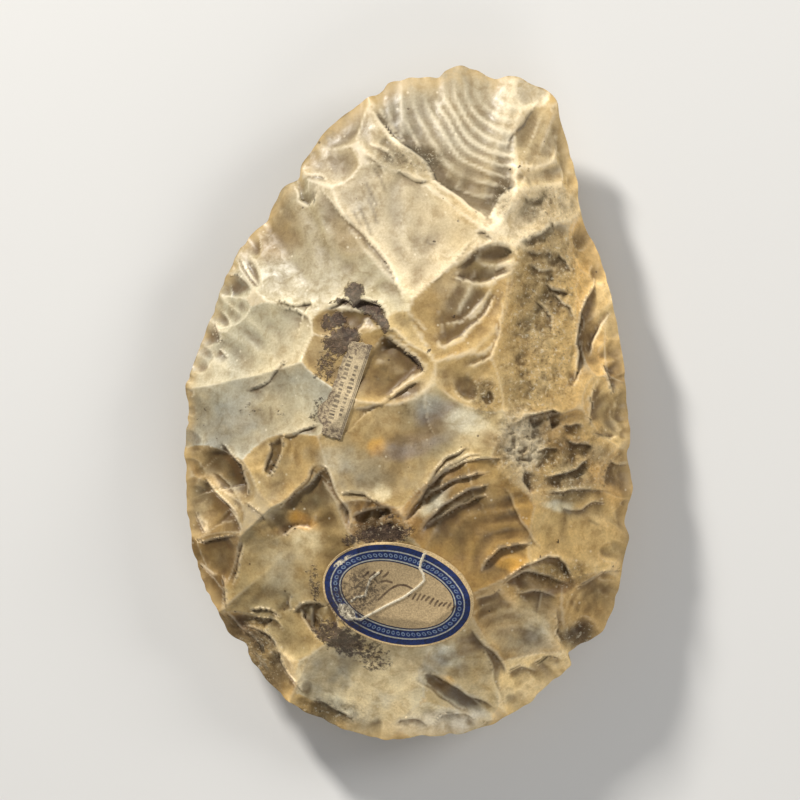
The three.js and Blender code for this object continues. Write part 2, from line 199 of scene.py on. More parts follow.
# where one flake broke off in a step: the ground on the right hand of each line is lower
# each row: depth of the step, how far the hollow reaches from it, and the line itself
upperSteps = [
    (1.3, 6, [(19, 38.4), (16, 41.4), (12, 44.6), (8, 47.8), (5.6, 49.2), (4.9, 51.2), (4, 53.2),
              (2, 55), (0, 56.6), (-2, 57.8), (-4, 59.6), (-6, 62), (-8, 64.8), (-9.4, 67)]),
    (0.7, 1.6, [(5.2, 49.6), (4.8, 51.5), (4, 53.2), (2, 55), (0, 56.6), (-2, 57.8), (-4, 59.6),
                (-6, 62), (-9, 66.3)]),
    (0.45, 5, [(-19.6, 49.6), (-19, 47), (-15, 41.6), (-10, 36.8), (-5.2, 31.4), (-3, 27), (-1, 22),
               (0.6, 19.4)]),
    (0.6, 2.5, [(-3, 52), (-1, 50.6), (1.5, 49.2), (3.4, 48.7), (4.9, 49.4)]),
    (0.35, 2.5, [(-9, 57.4), (-6.4, 56.6), (-4, 54.6), (-2.6, 52.4)]),
    (0.3, 2, [(-5.4, 59), (-2.4, 56.8), (-0.4, 54.2), (0.4, 51.6)]),
    (0.3, 2, [(-10.6, 54.8), (-8, 54), (-6, 52), (-5, 50)]),
    (0.5, 3, [(-19.8, 47.5), (-21, 45), (-22.6, 43.6), (-24.2, 45), (-25.2, 48)]),
    (0.4, 2.5, [(-25.5, 50.2), (-22.5, 50.4), (-19.5, 50), (-18, 48.6)]),
    (0.8, 3.5, [(-38, 32.2), (-37.2, 30.8), (-35, 28), (-33, 25.5)]),
    (0.6, 4, [(-41.5, 27), (-40, 28.7), (-38, 28.2), (-36, 26.6), (-34.8, 25.2)]),
    (0.5, 3, [(-30, 22.1), (-27.5, 21.9), (-25, 21.3), (-23, 21.5), (-21.5, 21.9), (-21, 20.2)]),
    (0.3, 2, [(-28, 21), (-25.5, 20.3), (-23.5, 19.4), (-22, 18.5), (-21.3, 16.5)]),
    (0.9, 7, [(-19.5, 19.6), (-18, 20.8), (-16, 21.7), (-14.8, 22.9), (-13.5, 22.2), (-12, 21.4),
              (-10.2, 22.6), (-8, 22.2), (-6.3, 21.4), (-5.4, 20), (-5.2, 17), (-5.4, 15.2)]),
    (1.3, 7, [(-5.6, 15.4), (-3.5, 13.6), (-1.5, 11.8), (0.5, 10), (2.5, 8), (3.6, 6.6)]),
    (0.35, 1.6, [(-5, 16.4), (-3.4, 16.3), (-2.2, 15.2), (-0.6, 12.8)]),
    (0.7, 2.5, [(-43.2, 18.5), (-42.3, 16), (-41.8, 13.2)]),
    (0.3, 1.5, [(-42, 12), (-40.8, 11), (-39.5, 9.9)]),
    (0.35, 4, [(-36, 2.8), (-33.5, 3.3), (-31, 5), (-28.5, 8), (-26.5, 9.5)]),
    (0.5, 5, [(-29, -6.8), (-27, -7.2), (-23, -5.8), (-19, -4.4)]),
    (0.45, 5, [(-13, -1.6), (-9, -1.3), (-6, 0), (-3, 1.8), (0, 4), (2.5, 5), (4.5, 4.9)]),
    (1.9, 5.5, [(-41.7, -8.2), (-40.3, -10.2), (-38.6, -12.2), (-37, -14), (-36, -15.8),
                (-35.2, -18), (-35.2, -21)]),
    (1.5, 4, [(-45.2, -16.2), (-43, -19.2), (-41, -21.8), (-38.6, -24.2), (-37.4, -26)]),
    (0.8, 3, [(-40, -23.6), (-38.4, -25.4), (-37.4, -27.2), (-36.6, -29)]),
    (0.7, 2.5, [(-47.4, -24), (-46, -27), (-44.8, -29.5)]),
    (0.5, 4, [(-48.5, -30.6), (-45, -31.2), (-41, -30), (-37, -28.8)]),
    (0.8, 4, [(-36.8, -29.5), (-36.9, -34), (-37.8, -37.6), (-39.4, -40.6)]),
    (0.6, 2.5, [(-36.4, -21.8), (-34.8, -22.4), (-33, -24), (-31.7, -26.2)]),
    (0.5, 2.6, [(-27.7, -7), (-27.8, -9.5), (-28.3, -11.5), (-29.6, -14.5), (-31, -16.8)]),
    (0.4, 1.5, [(-32, -16.5), (-30.8, -13), (-30.2, -10.5), (-30.4, -8)]),
    (1.0, 5, [(-19.8, -13.0), (-18, -14.2), (-16.9, -16.4), (-16.1, -19), (-15, -21.5),
              (-13.4, -24), (-12.8, -29)]),
    (0.5, 4, [(-28.5, -23.5), (-25.5, -20.4), (-23, -17.4), (-21, -14.4), (-19.5, -13)]),
    (0.6, 4, [(-15.5, -20.4), (-12.5, -19.7), (-10, -19.6), (-8, -21), (-5.6, -22.8)]),
    (0.8, 4, [(-13, -25.4), (-10, -23.8), (-7, -22.9), (-4.8, -22.9), (-3.4, -24.6)]),
    (0.4, 3, [(-21, -27.6), (-22.5, -27), (-24, -27), (-25.5, -27.8), (-27.8, -29.8)]),
    (0.6, 4, [(-2, -27), (0, -24.4), (2, -21.5), (4, -18), (6, -14.5), (8, -12.3), (10, -11),
              (12, -10), (14.5, -10.2)]),
    (0.55, 1.5, [(0.8, -23.6), (4.5, -18.2), (8, -14.8), (12, -12.9), (16, -12.2), (20, -12),
                 (22, -13.4)]),
    (0.5, 1.4, [(1.5, -23), (5, -19.6), (10, -16.7), (15, -15.2), (19, -15)]),
    (0.4, 1.3, [(2.6, -20.6), (5.6, -16.4), (9, -13.4), (13, -11.6), (17.5, -11)]),
    (0.35, 2, [(3, -27.5), (7, -25), (11, -22.6), (15, -20.6), (18, -19.6)]),
    (0.7, 3, [(1.4, -29), (4, -26), (7, -23.2), (10, -21.2), (14, -18.9), (18.5, -17.2)]),
    (0.5, 3, [(15.4, -38), (17, -34.5), (20, -32), (23, -31), (26, -30.9), (28, -31.6)]),
    (0.35, 3, [(20.5, -18), (22.5, -21.8), (24.5, -25.8), (26.5, -29.3), (29.5, -32.8)]),
    (0.9, 4, [(19.4, -40.6), (23, -37.8), (26, -35.8), (29, -34.6), (31, -33.8), (33, -34),
              (34.5, -36), (35.5, -38.4), (36.8, -41.2)]),
    (0.8, 3, [(20.5, -40.8), (23, -38.7), (25.5, -37.5), (28, -37.2), (31, -38.3), (33, -39.4),
              (35.7, -40.8)]),
    (0.5, 2, [(23, -42), (27, -41.4), (30, -42), (33, -43.4)]),
    (0.4, 3, [(14, -43), (16, -42.9), (18, -42.2), (20, -40.3)]),
    (0.5, 4, [(36.6, -41), (38.5, -40.3), (41, -38.8), (44, -37.4), (48, -36.9)]),
    (0.9, 3, [(23.4, -4.2), (26.5, -2.8), (29, -2.1), (32, -1.5), (35, -2.8)]),
    (0.8, 2, [(27.6, -5.6), (26.6, -4), (26.3, -2.8)]),
    (0.8, 2, [(31.4, -6), (30.9, -4), (30.7, -2.2)]),
    (0.7, 1.6, [(33.6, -5), (35.5, -5.3), (37, -4.8), (39, -5)]),
    (0.7, 2.5, [(34.4, -8.1), (36, -8.7), (38, -8.6), (39.5, -9), (41.4, -10)]),
    (0.4, 2, [(27.4, -10.4), (30, -9.9), (33.6, -10.2)]),
    (0.8, 3, [(28.8, -16.5), (32, -16.1), (34.5, -15.4), (37, -14.9), (38.5, -13.4), (40.6, -12.2)]),
    (0.6, 2.5, [(29.4, -20), (33, -19.6), (36, -18.9), (39, -18.7), (42, -18.9), (46, -19.4)]),
    (0.5, 2, [(33.4, -22.4), (36, -23.5), (38.5, -23.5), (41, -22.2), (43.6, -21.6)]),
    (0.7, 2.5, [(26.4, -20.6), (25.4, -17.5), (25.6, -14.6)]),
    (0.6, 4, [(43.4, -19), (43.8, -15.5), (45, -13), (47, -13.4), (50, -13.6)]),
    (0.5, 3, [(40.4, -5), (40.3, -2), (40.8, 1), (41.4, 4.6)]),
    (0.4, 3, [(47.4, -6.8), (45, -7.9), (43, -7.8), (40.8, -6)]),
    (0.9, 3, [(45.7, 2.2), (45, 4.5), (44.3, 6.8), (43.4, 9)]),
    (0.4, 4, [(21.4, 54), (22, 58), (24, 61), (27, 64), (30, 68.6)]),
    (0.4, 3, [(33, 56.2), (31.5, 54), (30, 53.2), (28, 52.9), (25, 52.9)]),
    (0.5, 1.5, [(31, 64.6), (32.6, 66), (34, 66.6)]),
    (1.1, 4, [(25, 48.2), (21.5, 47.2), (20, 45.5), (18.6, 43), (17.4, 40.4)]),
    (0.6, 2, [(24.5, 45.6), (27, 44.6), (30.5, 45)]),
    (0.9, 4, [(23.4, 35.4), (27, 36.2), (30, 37.3), (32, 39), (34, 39.6), (37, 40)]),
    (0.6, 1.5, [(15, 37.6), (17, 38), (18, 36.8), (18.8, 35.6)]),
    (0.5, 3, [(9.4, 28.8), (12.5, 31.2), (15, 33.5), (17, 34.6), (19.5, 34.9), (21.5, 34.2),
              (23.5, 32.6), (24.2, 30.6)]),
    (0.6, 2, [(24, 30.4), (21, 28.6), (18, 27.1), (15, 26.5), (12.5, 27), (10, 28.2)]),
    (0.22, 2.5, [(3.4, 25.2), (7, 27.5), (10, 31), (13, 34.5), (15.4, 36.4)]),
    (0.42, 2.6, [(20, 25.5), (17, 20.6), (14, 16.8), (11, 14), (8, 13), (4.6, 13.6)]),
    (0.4, 2.4, [(19.8, 19), (19.4, 14.6), (17.6, 10.6), (14.6, 8.4), (11.4, 8)]),
    (0.3, 2, [(0.2, 19.6), (1.8, 17.8), (3.4, 15.4)]),
    (0.8, 2, [(30, 26.6), (31.5, 25.2), (33, 24.8), (36, 24)]),
    (0.25, 2, [(18.4, 26), (15, 21.6), (11.6, 18.6), (7.6, 17.4)]),
    (0.3, 2.5, [(25.6, 34), (28, 32.8), (30.4, 33.2), (32.4, 32)]),
    (0.3, 2.5, [(26.4, 30.6), (29.8, 29.2), (32.4, 29.6)]),
    (0.35, 2, [(33, 33), (34.8, 31), (36.2, 28.8)]),
    (0.25, 3, [(27.6, 22.6), (29.8, 21), (31.4, 18.4), (32, 14)]),
    (0.6, 2, [(31.3, 24.7), (33.5, 22.4), (35.5, 21.2), (36.5, 19.5), (38.2, 17.8)]),
    (1.7, 4, [(36.6, 4), (37.1, 9), (37.6, 13), (38.1, 17), (38.6, 20.5), (39.6, 23.5), (41, 26.5),
              (41.8, 28.4)]),
    (0.8, 2.5, [(45.6, 20.8), (44, 19.3), (42.6, 17.2), (41.5, 15), (40.6, 12.5), (40.3, 9.6)]),
    (0.5, 3, [(-35.7, -46.5), (-33, -45.4), (-30.5, -45.6), (-29, -46.6), (-28.3, -48.2)]),
    (0.45, 3, [(-34.4, -47.6), (-31, -47.6), (-29.5, -48), (-28.6, -49.5), (-27.8, -50.6)]),
    (0.9, 2.5, [(-37, -49.4), (-34, -50), (-31.5, -51.2), (-30, -53), (-29.2, -55.4)]),
    (0.7, 2, [(-36.7, -50.5), (-34.5, -51.6), (-32.8, -53.6), (-32, -56.4)]),
    (1.5, 3.5, [(-29.4, -55), (-28.5, -57.5), (-27, -59.8), (-25.5, -61.8), (-23.5, -64.4)]),
    (0.7, 2, [(-34.7, -55), (-33, -57), (-31.6, -60.4)]),
    (1.1, 3, [(-22, -65.9), (-19, -66.7), (-16.5, -68), (-14, -69.4), (-12, -71)]),
    (0.6, 3, [(-26.4, -46.4), (-25, -45.5), (-23.5, -44.2), (-21.5, -43.9), (-19.3, -44.2),
              (-17.6, -45.2)]),
    (0.7, 1.6, [(-20.7, -51), (-22, -49.3), (-23.3, -47), (-23.7, -44.6)]),
    (0.5, 3, [(-18.2, -53.2), (-20, -52), (-20.8, -50), (-21.3, -47), (-21.1, -44.2)]),
    (0.3, 1.5, [(-26, -41.6), (-26.6, -44), (-26.1, -46)]),
    (0.8, 3, [(-41.3, -38), (-41, -42), (-40.7, -46)]),
    (0.6, 2, [(-46.6, -35.6), (-45, -37.2), (-43.5, -38.6), (-42, -38.3)]),
    (1.3, 4, [(-41.6, -46), (-39, -48), (-37.5, -49.5), (-35.6, -51.4)]),
    (0.6, 2.5, [(13, -49), (15, -51.3), (17, -53.6), (18.6, -55), (20.5, -57.5), (21.8, -60.4)]),
    (0.3, 3, [(21.9, -68.4), (20.3, -64.5), (19, -60.5), (18, -57), (16.8, -53.6)]),
    (0.7, 2.4, [(2, -59.6), (6, -60.3), (8.5, -61.6), (11, -63.3), (14, -65), (16.5, -66.2),
                (20.4, -67.8)]),
    (0.4, 2.5, [(16.4, -70.6), (13, -69), (10, -67.3), (7, -65.2), (4, -63), (0.3, -60.2)]),
    (0.5, 2, [(4, -72), (7, -69.6), (10, -68.7), (12.5, -69), (15.4, -71.4)]),
    (0.7, 2, [(-3.4, -72), (-2, -70.4), (0, -70.2), (3, -70.6), (5.2, -72.4)]),
    (0.4, 1.5, [(16, -72.4), (18, -70.5), (21.4, -69.9)]),
    (0.6, 1.6, [(21.8, -59.8), (25, -58.4), (26.3, -58.6), (28.6, -59.6)]),
    (0.4, 3, [(28, -57.8), (31, -56.3), (34.6, -56.6)]),
    (0.6, 2, [(34.8, -54.4), (32.5, -51), (33, -48), (33, -44.6)]),
]

# how rough the broken surface is: middle, half sizes, height of the roughness and size of its grain
upperRough = [
    ((29.5, 17), (8, 20), 0.42, 2.6),
    ((31, 35), (6, 4), 0.5, 2.2),
    ((30.5, 28), (7.5, 8), 0.26, 1.5),
    ((27.5, 6), (6.5, 9), 0.16, 1.2),
    ((24.5, -9), (5, 8), 0.5, 1.3),
    ((34, -13), (10, 8), 0.5, 3.0),
    ((31, 44), (6, 4.5), 0.36, 1.7),
    ((21, 45), (2, 4), 0.5, 1.2),
    ((0, 54), (7, 3), 0.35, 1.5),
    ((17, 1), (3, 4), 0.35, 1.6),
    ((38, -52), (4, 3), 0.7, 1.6),
    ((-34, -59), (5, 10), 0.6, 1.6),
    ((-18, -69), (8, 3), 0.5, 1.4),
    ((-6, -28), (6, 2.5), 0.4, 1.3),
    ((34, -38), (6, 2.5), 0.35, 1.5),
]

# red, green and blue as a screen shows them, 0 to 255
tints = {
    "ivory": (226, 212, 180),
    "cream": (220, 202, 164),
    "straw": (208, 187, 144),
    "paleGrey": (208, 198, 166),
    "greyCream": (196, 182, 144),
    "blueGrey": (166, 160, 138),
    "greyStraw": (178, 164, 130),
    "sand": (198, 173, 122),
    "ochre": (186, 154, 96),
    "tan": (170, 144, 94),
    "olive": (156, 137, 96),
    "brown": (152, 127, 82),
    "umber": (130, 104, 62),
    "amber": (146, 116, 64),
    "slate": (136, 124, 98),
    "honey": (196, 150, 70),
    "violet": (134, 120, 106),
    "soot": (74, 60, 46),
    "earth": (96, 70, 38),
}

# stains inside the stone, and two painted shadows: middle, half sizes, turn, colour and strength
upperStainsAndShadows = [
    ((-31, 39), (7, 6.5), 20, "ochre", 0.6),
    ((-29, 35), (5, 4), 0, "ochre", 0.4),
    ((-14, 40), (3.5, 7), 15, "sand", 0.6),
    ((-12, 36), (2.5, 4), 0, "tan", 0.5),
    ((-24, 27), (12, 6), -10, "paleGrey", 0.6),
    ((-17, 47), (5, 4), -40, "ivory", 0.9),
    ((-13, 44), (9, 3), -55, "ivory", 0.5),
    ((12, 37), (5, 4), 0, "sand", 0.4),
    ((-2, 34), (5, 8), 0, "ivory", 0.3),
    ((4, 65), (6, 6), 0, "ivory", 0.6),
    ((4, 52), (6, 5), -40, "sand", 0.5),
    ((13, 48), (7, 7), -30, "sand", 0.5),
    ((27, 61), (4, 5), 0, "tan", 0.4),
    ((26, 38), (6, 3.5), 25, "cream", 0.6),
    ((-35, 12), (12, 6), 25, "paleGrey", 0.5),
    ((-24, 13), (6, 5), 10, "straw", 0.4),
    ((-44, 8), (4, 5), 0, "ivory", 0.4),
    ((-27, -1), (7, 5), 0, "paleGrey", 0.5),
    ((-37, -6), (10, 4), 5, "slate", 0.5),
    ((-47, 0), (3, 5), 0, "greyStraw", 0.5),
    ((-7, -5), (7.5, 4.5), 0, "ochre", 0.5),
    ((-7, -9.5), (2, 1.5), 0, "honey", 0.8),
    ((-16, -9), (4, 6), 0, "greyStraw", 0.4),
    ((5.5, -2), (4.5, 3), 10, "violet", 0.8),
    ((1, -9), (8, 2.6), 15, "violet", 0.7),
    ((-9, -15), (5, 4), 0, "slate", 0.4),
    ((14, -7), (5, 3), 0, "straw", 0.35),
    ((3, 3), (4, 2), 20, "straw", 0.4),
    ((11, 24), (4, 5), 40, "cream", 0.4),
    ((20, 29.5), (4, 1.2), 20, "cream", 0.5),
    ((16, 33), (4, 1.6), 30, "umber", 0.4),
    ((31, 12), (5, 16), 0, "sand", 0.3),
    ((33, 33), (4, 5), 0, "straw", 0.4),
    ((31, 44), (6, 4), 0, "cream", 0.6),
    ((38, 27), (2, 8), 0, "ochre", 0.5),
    ((44, 22), (2.4, 7), 10, "sand", 0.7),
    ((39.5, 15), (2.2, 8), 8, "umber", 0.55),
    ((47, 8), (2, 4), 0, "umber", 0.5),
    ((24.5, -9), (4.5, 7), 0, "ivory", 0.6),
    ((40, -5), (4, 3), 0, "tan", 0.4),
    ((21, -34), (3.6, 1.8), 0, "honey", 0.5),
    ((27, -32), (4, 3), 0, "ochre", 0.4),
    ((14, -22), (8, 6), 20, "umber", 0.35),
    ((6, -24), (3, 5), -35, "umber", 0.4),
    ((20, -15), (5, 3), 0, "tan", 0.6),
    ((35, -31), (6, 4), 0, "ochre", 0.4),
    ((42, -33), (4, 4), 0, "tan", 0.4),
    ((23, -44), (6, 4), 0, "olive", 0.5),
    ((26, -52), (6, 4), 0, "umber", 0.3),
    ((38.5, -52), (3.6, 2.6), 20, "soot", 0.9),
    ((-26, -26), (7, 3), 10, "ochre", 0.5),
    ((-26, -27.8), (4.5, 1.0), 12, "earth", 0.6),
    ((-26, -32), (3, 5), 0, "greyStraw", 0.5),
    ((-15, -22), (3, 7), 15, "straw", 0.3),
    ((-30, -38), (7, 4), 0, "olive", 0.4),
    ((-42, -14), (3, 4), 40, "umber", 0.4),
    ((-46, -25), (3, 4), 0, "straw", 0.4),
    ((-38, -51), (4, 3), -40, "earth", 0.8),
    ((-34, -60), (3, 9), 40, "umber", 0.5),
    ((-27, -58), (2.4, 5), 30, "straw", 0.5),
    ((-8, -63), (9, 6), 20, "paleGrey", 0.4),
    ((3, -57), (5, 3), 0, "slate", 0.4),
    ((10, -63.5), (8, 2), -38, "slate", 0.3),
    ((2, -71.5), (7, 2), 0, "ivory", 0.4),
    ((-19, -69), (7, 2.4), -25, "ochre", 0.5),
    ((29, -63), (4, 3), 0, "straw", 0.5),
    ((-41.2, -18.7), (4.8, 2.2), -50, "straw", 0.6),
    # the next two rows are painted shadows beside two steps
    ((-37.6, -15.5), (5.4, 1.2), -62, "umber", 0.8),
    ((-42, -22.6), (5.4, 1.1), -48, "umber", 0.8),
    ((-45.4, -26.4), (2.4, 0.9), -55, "ivory", 0.6),
    ((-46.5, -21), (3, 4), 20, "greyStraw", 0.5),
    ((-39.6, -35.5), (2, 4.5), -8, "umber", 0.6),
    ((-22.5, -30.5), (3, 5), 0, "paleGrey", 0.6),
    ((-29, -36), (4, 5), 10, "greyStraw", 0.5),
    ((-23.5, -26), (3, 1.4), -15, "honey", 0.8),
    ((-18.6, -17), (1.2, 4), 25, "umber", 0.5),
    ((-9, -16), (6, 4.5), 0, "slate", 0.7),
    ((-6, -19.4), (2.5, 1.6), 0, "paleGrey", 0.8),
    ((-16, -12), (4, 2.5), 0, "blueGrey", 0.6),
    ((-8, -3.5), (5, 3.5), 0, "sand", 0.6),
    ((1.5, -6.5), (7, 1.8), 12, "umber", 0.7),
    ((4.5, 0), (4, 2.6), 0, "blueGrey", 0.7),
    ((13, -4.6), (5, 2.6), -15, "paleGrey", 0.7),
    ((18.4, -8), (2, 2), 0, "umber", 0.6),
    ((5.4, -22.4), (1.3, 3.6), -42, "paleGrey", 0.95),
    ((12, -16.2), (5, 0.8), 18, "umber", 0.7),
    ((8, -28), (5, 3), 10, "umber", 0.6),
    ((19, -27), (6, 3), -10, "umber", 0.4),
    ((21.5, -35.3), (2.8, 1.6), 0, "honey", 0.95),
    ((27.5, -39.4), (8, 1.5), -4, "umber", 0.6),
    ((33, -17), (6, 3), 5, "sand", 0.5),
    ((33, -41), (3.4, 1), 12, "earth", 0.8),
    ((25, -49.5), (8, 5), -10, "greyStraw", 0.7),
    ((8, -55.4), (4.5, 2.4), -30, "blueGrey", 0.8),
    ((14, -53.4), (3, 2), -20, "umber", 0.5),
    ((7.6, -62.3), (3, 1.4), -30, "ochre", 0.95),
    ((12.6, -65.8), (3.2, 1.5), -40, "slate", 0.9),
    ((19.4, -57), (1.1, 3.4), 25, "umber", 0.6),
    ((9, -71), (8, 2.8), 8, "ivory", 0.9),
    ((-9, -64), (10, 7), 10, "paleGrey", 0.6),
    ((-14, -57.5), (4, 3), 0, "blueGrey", 0.6),
    ((33, -22.8), (3, 1.2), -10, "paleGrey", 0.9),
    ((36, -17.6), (6, 1.1), 8, "umber", 0.6),
    ((42, -11), (3, 2.4), 0, "slate", 0.5),
    ((43, -24), (4, 3), 0, "sand", 0.6),
    ((36, -9.4), (4, 1.2), -5, "umber", 0.7),
]

# old glue and dirt round the labels: middle, half sizes, turn and strength
upperGrime = [
    ((-11.8, 24.6), (2.2, 2.6), 0, 1.0),
    ((-10, 21.4), (3.6, 1.1), -30, 1.0),
    ((-15.2, 22.6), (2.2, 0.8), 0, 0.8),
    ((-6.4, 18.6), (1.6, 4.2), 25, 0.9),
    ((-16.5, 17.8), (3, 2), 10, 0.85),
    ((-14.5, 13.8), (4.4, 3.2), 15, 0.95),
    ((-18, 8), (2.6, 4.5), -10, 0.6),
    ((-20, -1), (1.4, 3.4), -15, 0.5),
    ((1.4, 9.4), (3.2, 0.8), -45, 0.8),
    ((-15, -52), (6.5, 3.6), -28, 0.85),
    ((-8, -56), (5.5, 3), -20, 0.6),
    ((-5.5, -28.6), (6.4, 2.2), 0, 0.85),
    ((-12, -29.4), (3.4, 1.4), 12, 0.7),
    ((-20.6, -40), (1.5, 5), 8, 0.55),
    ((-4.6, -24.5), (3, 1.2), -30, 0.45),
    ((-35, -1), (4, 2.4), 20, 0.3),
    ((-28, -2), (1.4, 2.6), 0, 0.35),
    ((-46, -2), (1.6, 3.5), 0, 0.3),
    ((2, -9.5), (6, 1.6), 15, 0.25),
]

# hair cracks and the fine dark lines of split stone
upperCracks = [
    [(-12.2, 42.4), (-10.6, 39.2)], [(-10.8, 43), (-9.4, 40), (-8.2, 37)],
    [(-9.4, 48.6), (-8.4, 46.4), (-7.2, 43.8)], [(-7.6, 51.8), (-6.2, 49.6), (-5.2, 47)],
    [(-8.8, 45), (-7.6, 42), (-7, 39.8)], [(-13.8, 41.4), (-12.4, 39.4)],
    [(-1.6, 0.2), (-0.6, -1), (0.4, -2.8)], [(4, 35.6), (4.6, 35), (5.6, 35)],
    [(26.4, 49.2), (27.2, 47.8)], [(20.6, 24), (19.4, 21.6)], [(10, 28.4), (12.2, 27.6)],
    [(9.4, 27.4), (11.2, 26.8)], [(-6, 8), (-5, 7.2)], [(-4.6, 5.4), (-3.6, 4.8)],
    [(-7.4, 5.8), (-6.6, 5.2)], [(46, 1), (48, 2.4)], [(27, -49.4), (28.6, -50.2)],
    [(33, -4), (36, -2.6)], [(21.4, -22.6), (23, -25)], [(14, -18.4), (15.4, -19.2)],
    [(-30.4, -1), (-30.2, -3.4)], [(-35.6, 2.8), (-33.8, 3.2)], [(-10, -31), (-7.6, -31.4)],
    [(36, -44), (37.6, -46)], [(40, -26), (42, -27)],
]

# single dark pits: place and radius
upperPits = [
    (9.8, 19.1, 0.65), (4.3, 11.4, 0.5), (29, -33.7, 0.45), (33, -30.5, 0.5), (-10.3, 48.4, 0.45),
    (-5, 31, 0.4), (-1, 19.6, 0.45), (5.4, 35.4, 0.35), (4.2, 34.6, 0.35), (3.2, 36.3, 0.3),
    (22.4, 51.6, 0.6), (24.4, 52.2, 0.5), (26.6, 51.4, 0.55), (28.8, 14.6, 0.4), (31.3, 22.4, 0.4),
    (11.4, 1.2, 0.3), (-24.8, -18.5, 0.3), (17.6, -45.8, 0.3),
]

# random hills: cells before the pattern repeats, its shift, and how each finer layer fades and shrinks
hillGrid = {"cells": 97, "shift": 300.5, "fade": 0.55, "finer": 2.03}


# smooth random hills between 0 and 1, the same each run
def hills(x, y, size, seed, octaves=1):
    cells, shift = hillGrid["cells"], hillGrid["shift"]
    total, weight, height = 0, 0, 1.0
    for octave in range(octaves):
        lattice = np.random.default_rng(seed + octave).random((cells, cells))
        gx, gy = x / size + shift, y / size + shift
        ix, iy = np.floor(gx).astype(int), np.floor(gy).astype(int)
        fx, fy = gx - ix, gy - iy
        fx, fy = fx * fx * (3 - 2 * fx), fy * fy * (3 - 2 * fy)
        left, right, near, far = ix % cells, (ix + 1) % cells, iy % cells, (iy + 1) % cells
        a, b, c, d = lattice[near, left], lattice[near, right], lattice[far, left], lattice[far, right]
        total = total + height * ((a * (1 - fx) + b * fx) * (1 - fy) + (c * (1 - fx) + d * fx) * fy)
        weight += height
        height *= hillGrid["fade"]
        size = size / hillGrid["finer"]
    return total / weight


# places moved about by random hills, so that a line drawn there wavers
def wandered(x, y, far, size, seeds, octaves=1):
    return (x + far * (hills(x, y, size, seeds[0], octaves) - 0.5),
            y + far * (hills(x, y, size, seeds[1], octaves) - 0.5))


def eased(value, low, high):
    t = np.clip((value - low) / (high - low), 0, 1)
    return t * t * (3 - 2 * t)


# how far inside an ellipse a place is: 1 in the middle, 0 outside
def inside(x, y, at, size, turn=0, soft=0.5):
    c, s = math.cos(math.radians(turn)), math.sin(math.radians(turn))
    u = ((x - at[0]) * c + (y - at[1]) * s) / size[0]
    v = ((y - at[1]) * c - (x - at[0]) * s) / size[1]
    return 1 - eased(np.hypot(u, v), 1 - soft, 1 + soft)


# the place along a straight piece nearest to each point, as a share, and the way from it to the point
def nearestOn(px, py, start, stop):
    (ax, ay), (bx, by) = start, stop
    dx, dy = bx - ax, by - ay
    t = np.clip(((px - ax) * dx + (py - ay) * dy) / (dx * dx + dy * dy), 0, 1)
    return t, px - ax - t * dx, py - ay - t * dy


def distanceToLines(x, y, lines):
    best = np.full(x.shape, farAway)
    for line in lines:
        for start, stop in zip(line, line[1:]):
            best = np.minimum(best, np.hypot(*nearestOn(x, y, start, stop)[1:]))
    return best


def bearingOf(x, y):
    return np.arctan2(y - form["middle"][1], x - form["middle"][0])


def distanceOf(x, y):
    return np.hypot(x - form["middle"][0], y - form["middle"][1])


rimBearings = np.linspace(-math.pi, math.pi, form["rimPlaces"], endpoint=False)


def atBearing(table, bearing):
    return np.interp(bearing, rimBearings, table, period=2 * math.pi)


# the rim's distance from the middle, on a smooth curve through the outline's corners
def rimTable():
    p = np.array(outline)
    before, after, further = np.roll(p, 1, 0), np.roll(p, -1, 0), np.roll(p, -2, 0)
    ring = []
    for t in np.linspace(0, 1, form["rimBetween"], endpoint=False):
        ring.append(0.5 * (2 * p + (after - before) * t
                           + (2 * before - 5 * p + 4 * after - further) * t ** 2
                           + (3 * p - before - 3 * after + further) * t ** 3))
    x, y = np.concatenate(ring).T
    bearing, distance = bearingOf(x, y), distanceOf(x, y)
    order = np.argsort(bearing)
    return np.interp(rimBearings, bearing[order], distance[order], period=2 * math.pi)


def smoothed(table):
    reach = form["rimSmooth"]
    offsets = np.arange(-reach, reach + 1)
    weights = 1 + np.cos(np.pi * offsets / reach)
    return sum(w * np.roll(table, -k) for w, k in zip(weights, offsets)) / weights.sum()


rim = rimTable()
smoothRim = smoothed(rim)

# the edge was trimmed all round by small blows on both faces
retouch = {
    "chips": 170,
    "seed": 11,
    "bite": (0.1, 0.5),
    "width": (0.8, 2.4),
    "length": (0.8, 1.9),  # in widths
    "inward": (0.35, 0.8),  # in lengths
    "askew": 25,  # degrees each way
    "depth": (0.35, 0.9),
    "bowl": 3,
    "aboveShare": 0.6,
    "sway": 0.35,  # how much of a chip's depth moves the edge up or down
}


def edgeChips():
    random = np.random.default_rng(retouch["seed"])
    upper, lower, bites = [], [], np.zeros_like(rim)
    for k in range(retouch["chips"]):
        bearing = -math.pi + 2 * math.pi * (k + random.uniform(-0.5, 0.5)) / retouch["chips"]
        wide = random.uniform(*retouch["width"])
        bite = random.uniform(*retouch["bite"])
        distance = float(atBearing(rim, bearing))
        across = (bearing - rimBearings + math.pi) % (2 * math.pi) - math.pi
        bites += bite * np.exp(-((across * distance / wide) ** 2))
        long = wide * random.uniform(*retouch["length"])
        inward = distance - long * random.uniform(*retouch["inward"])
        x = form["middle"][0] + inward * math.cos(bearing)
        y = form["middle"][1] + inward * math.sin(bearing)
        turn = math.degrees(bearing) + random.uniform(-retouch["askew"], retouch["askew"])
        chip = scar(x, y, long, wide, turn, random.uniform(*retouch["depth"]), bowl=retouch["bowl"])
        (upper if random.random() < retouch["aboveShare"] else lower).append(chip)
    return upper, lower, bites


upperEdgeChips, lowerEdgeChips, bites = edgeChips()
nickedRim = rim - bites
print("rim worked out")


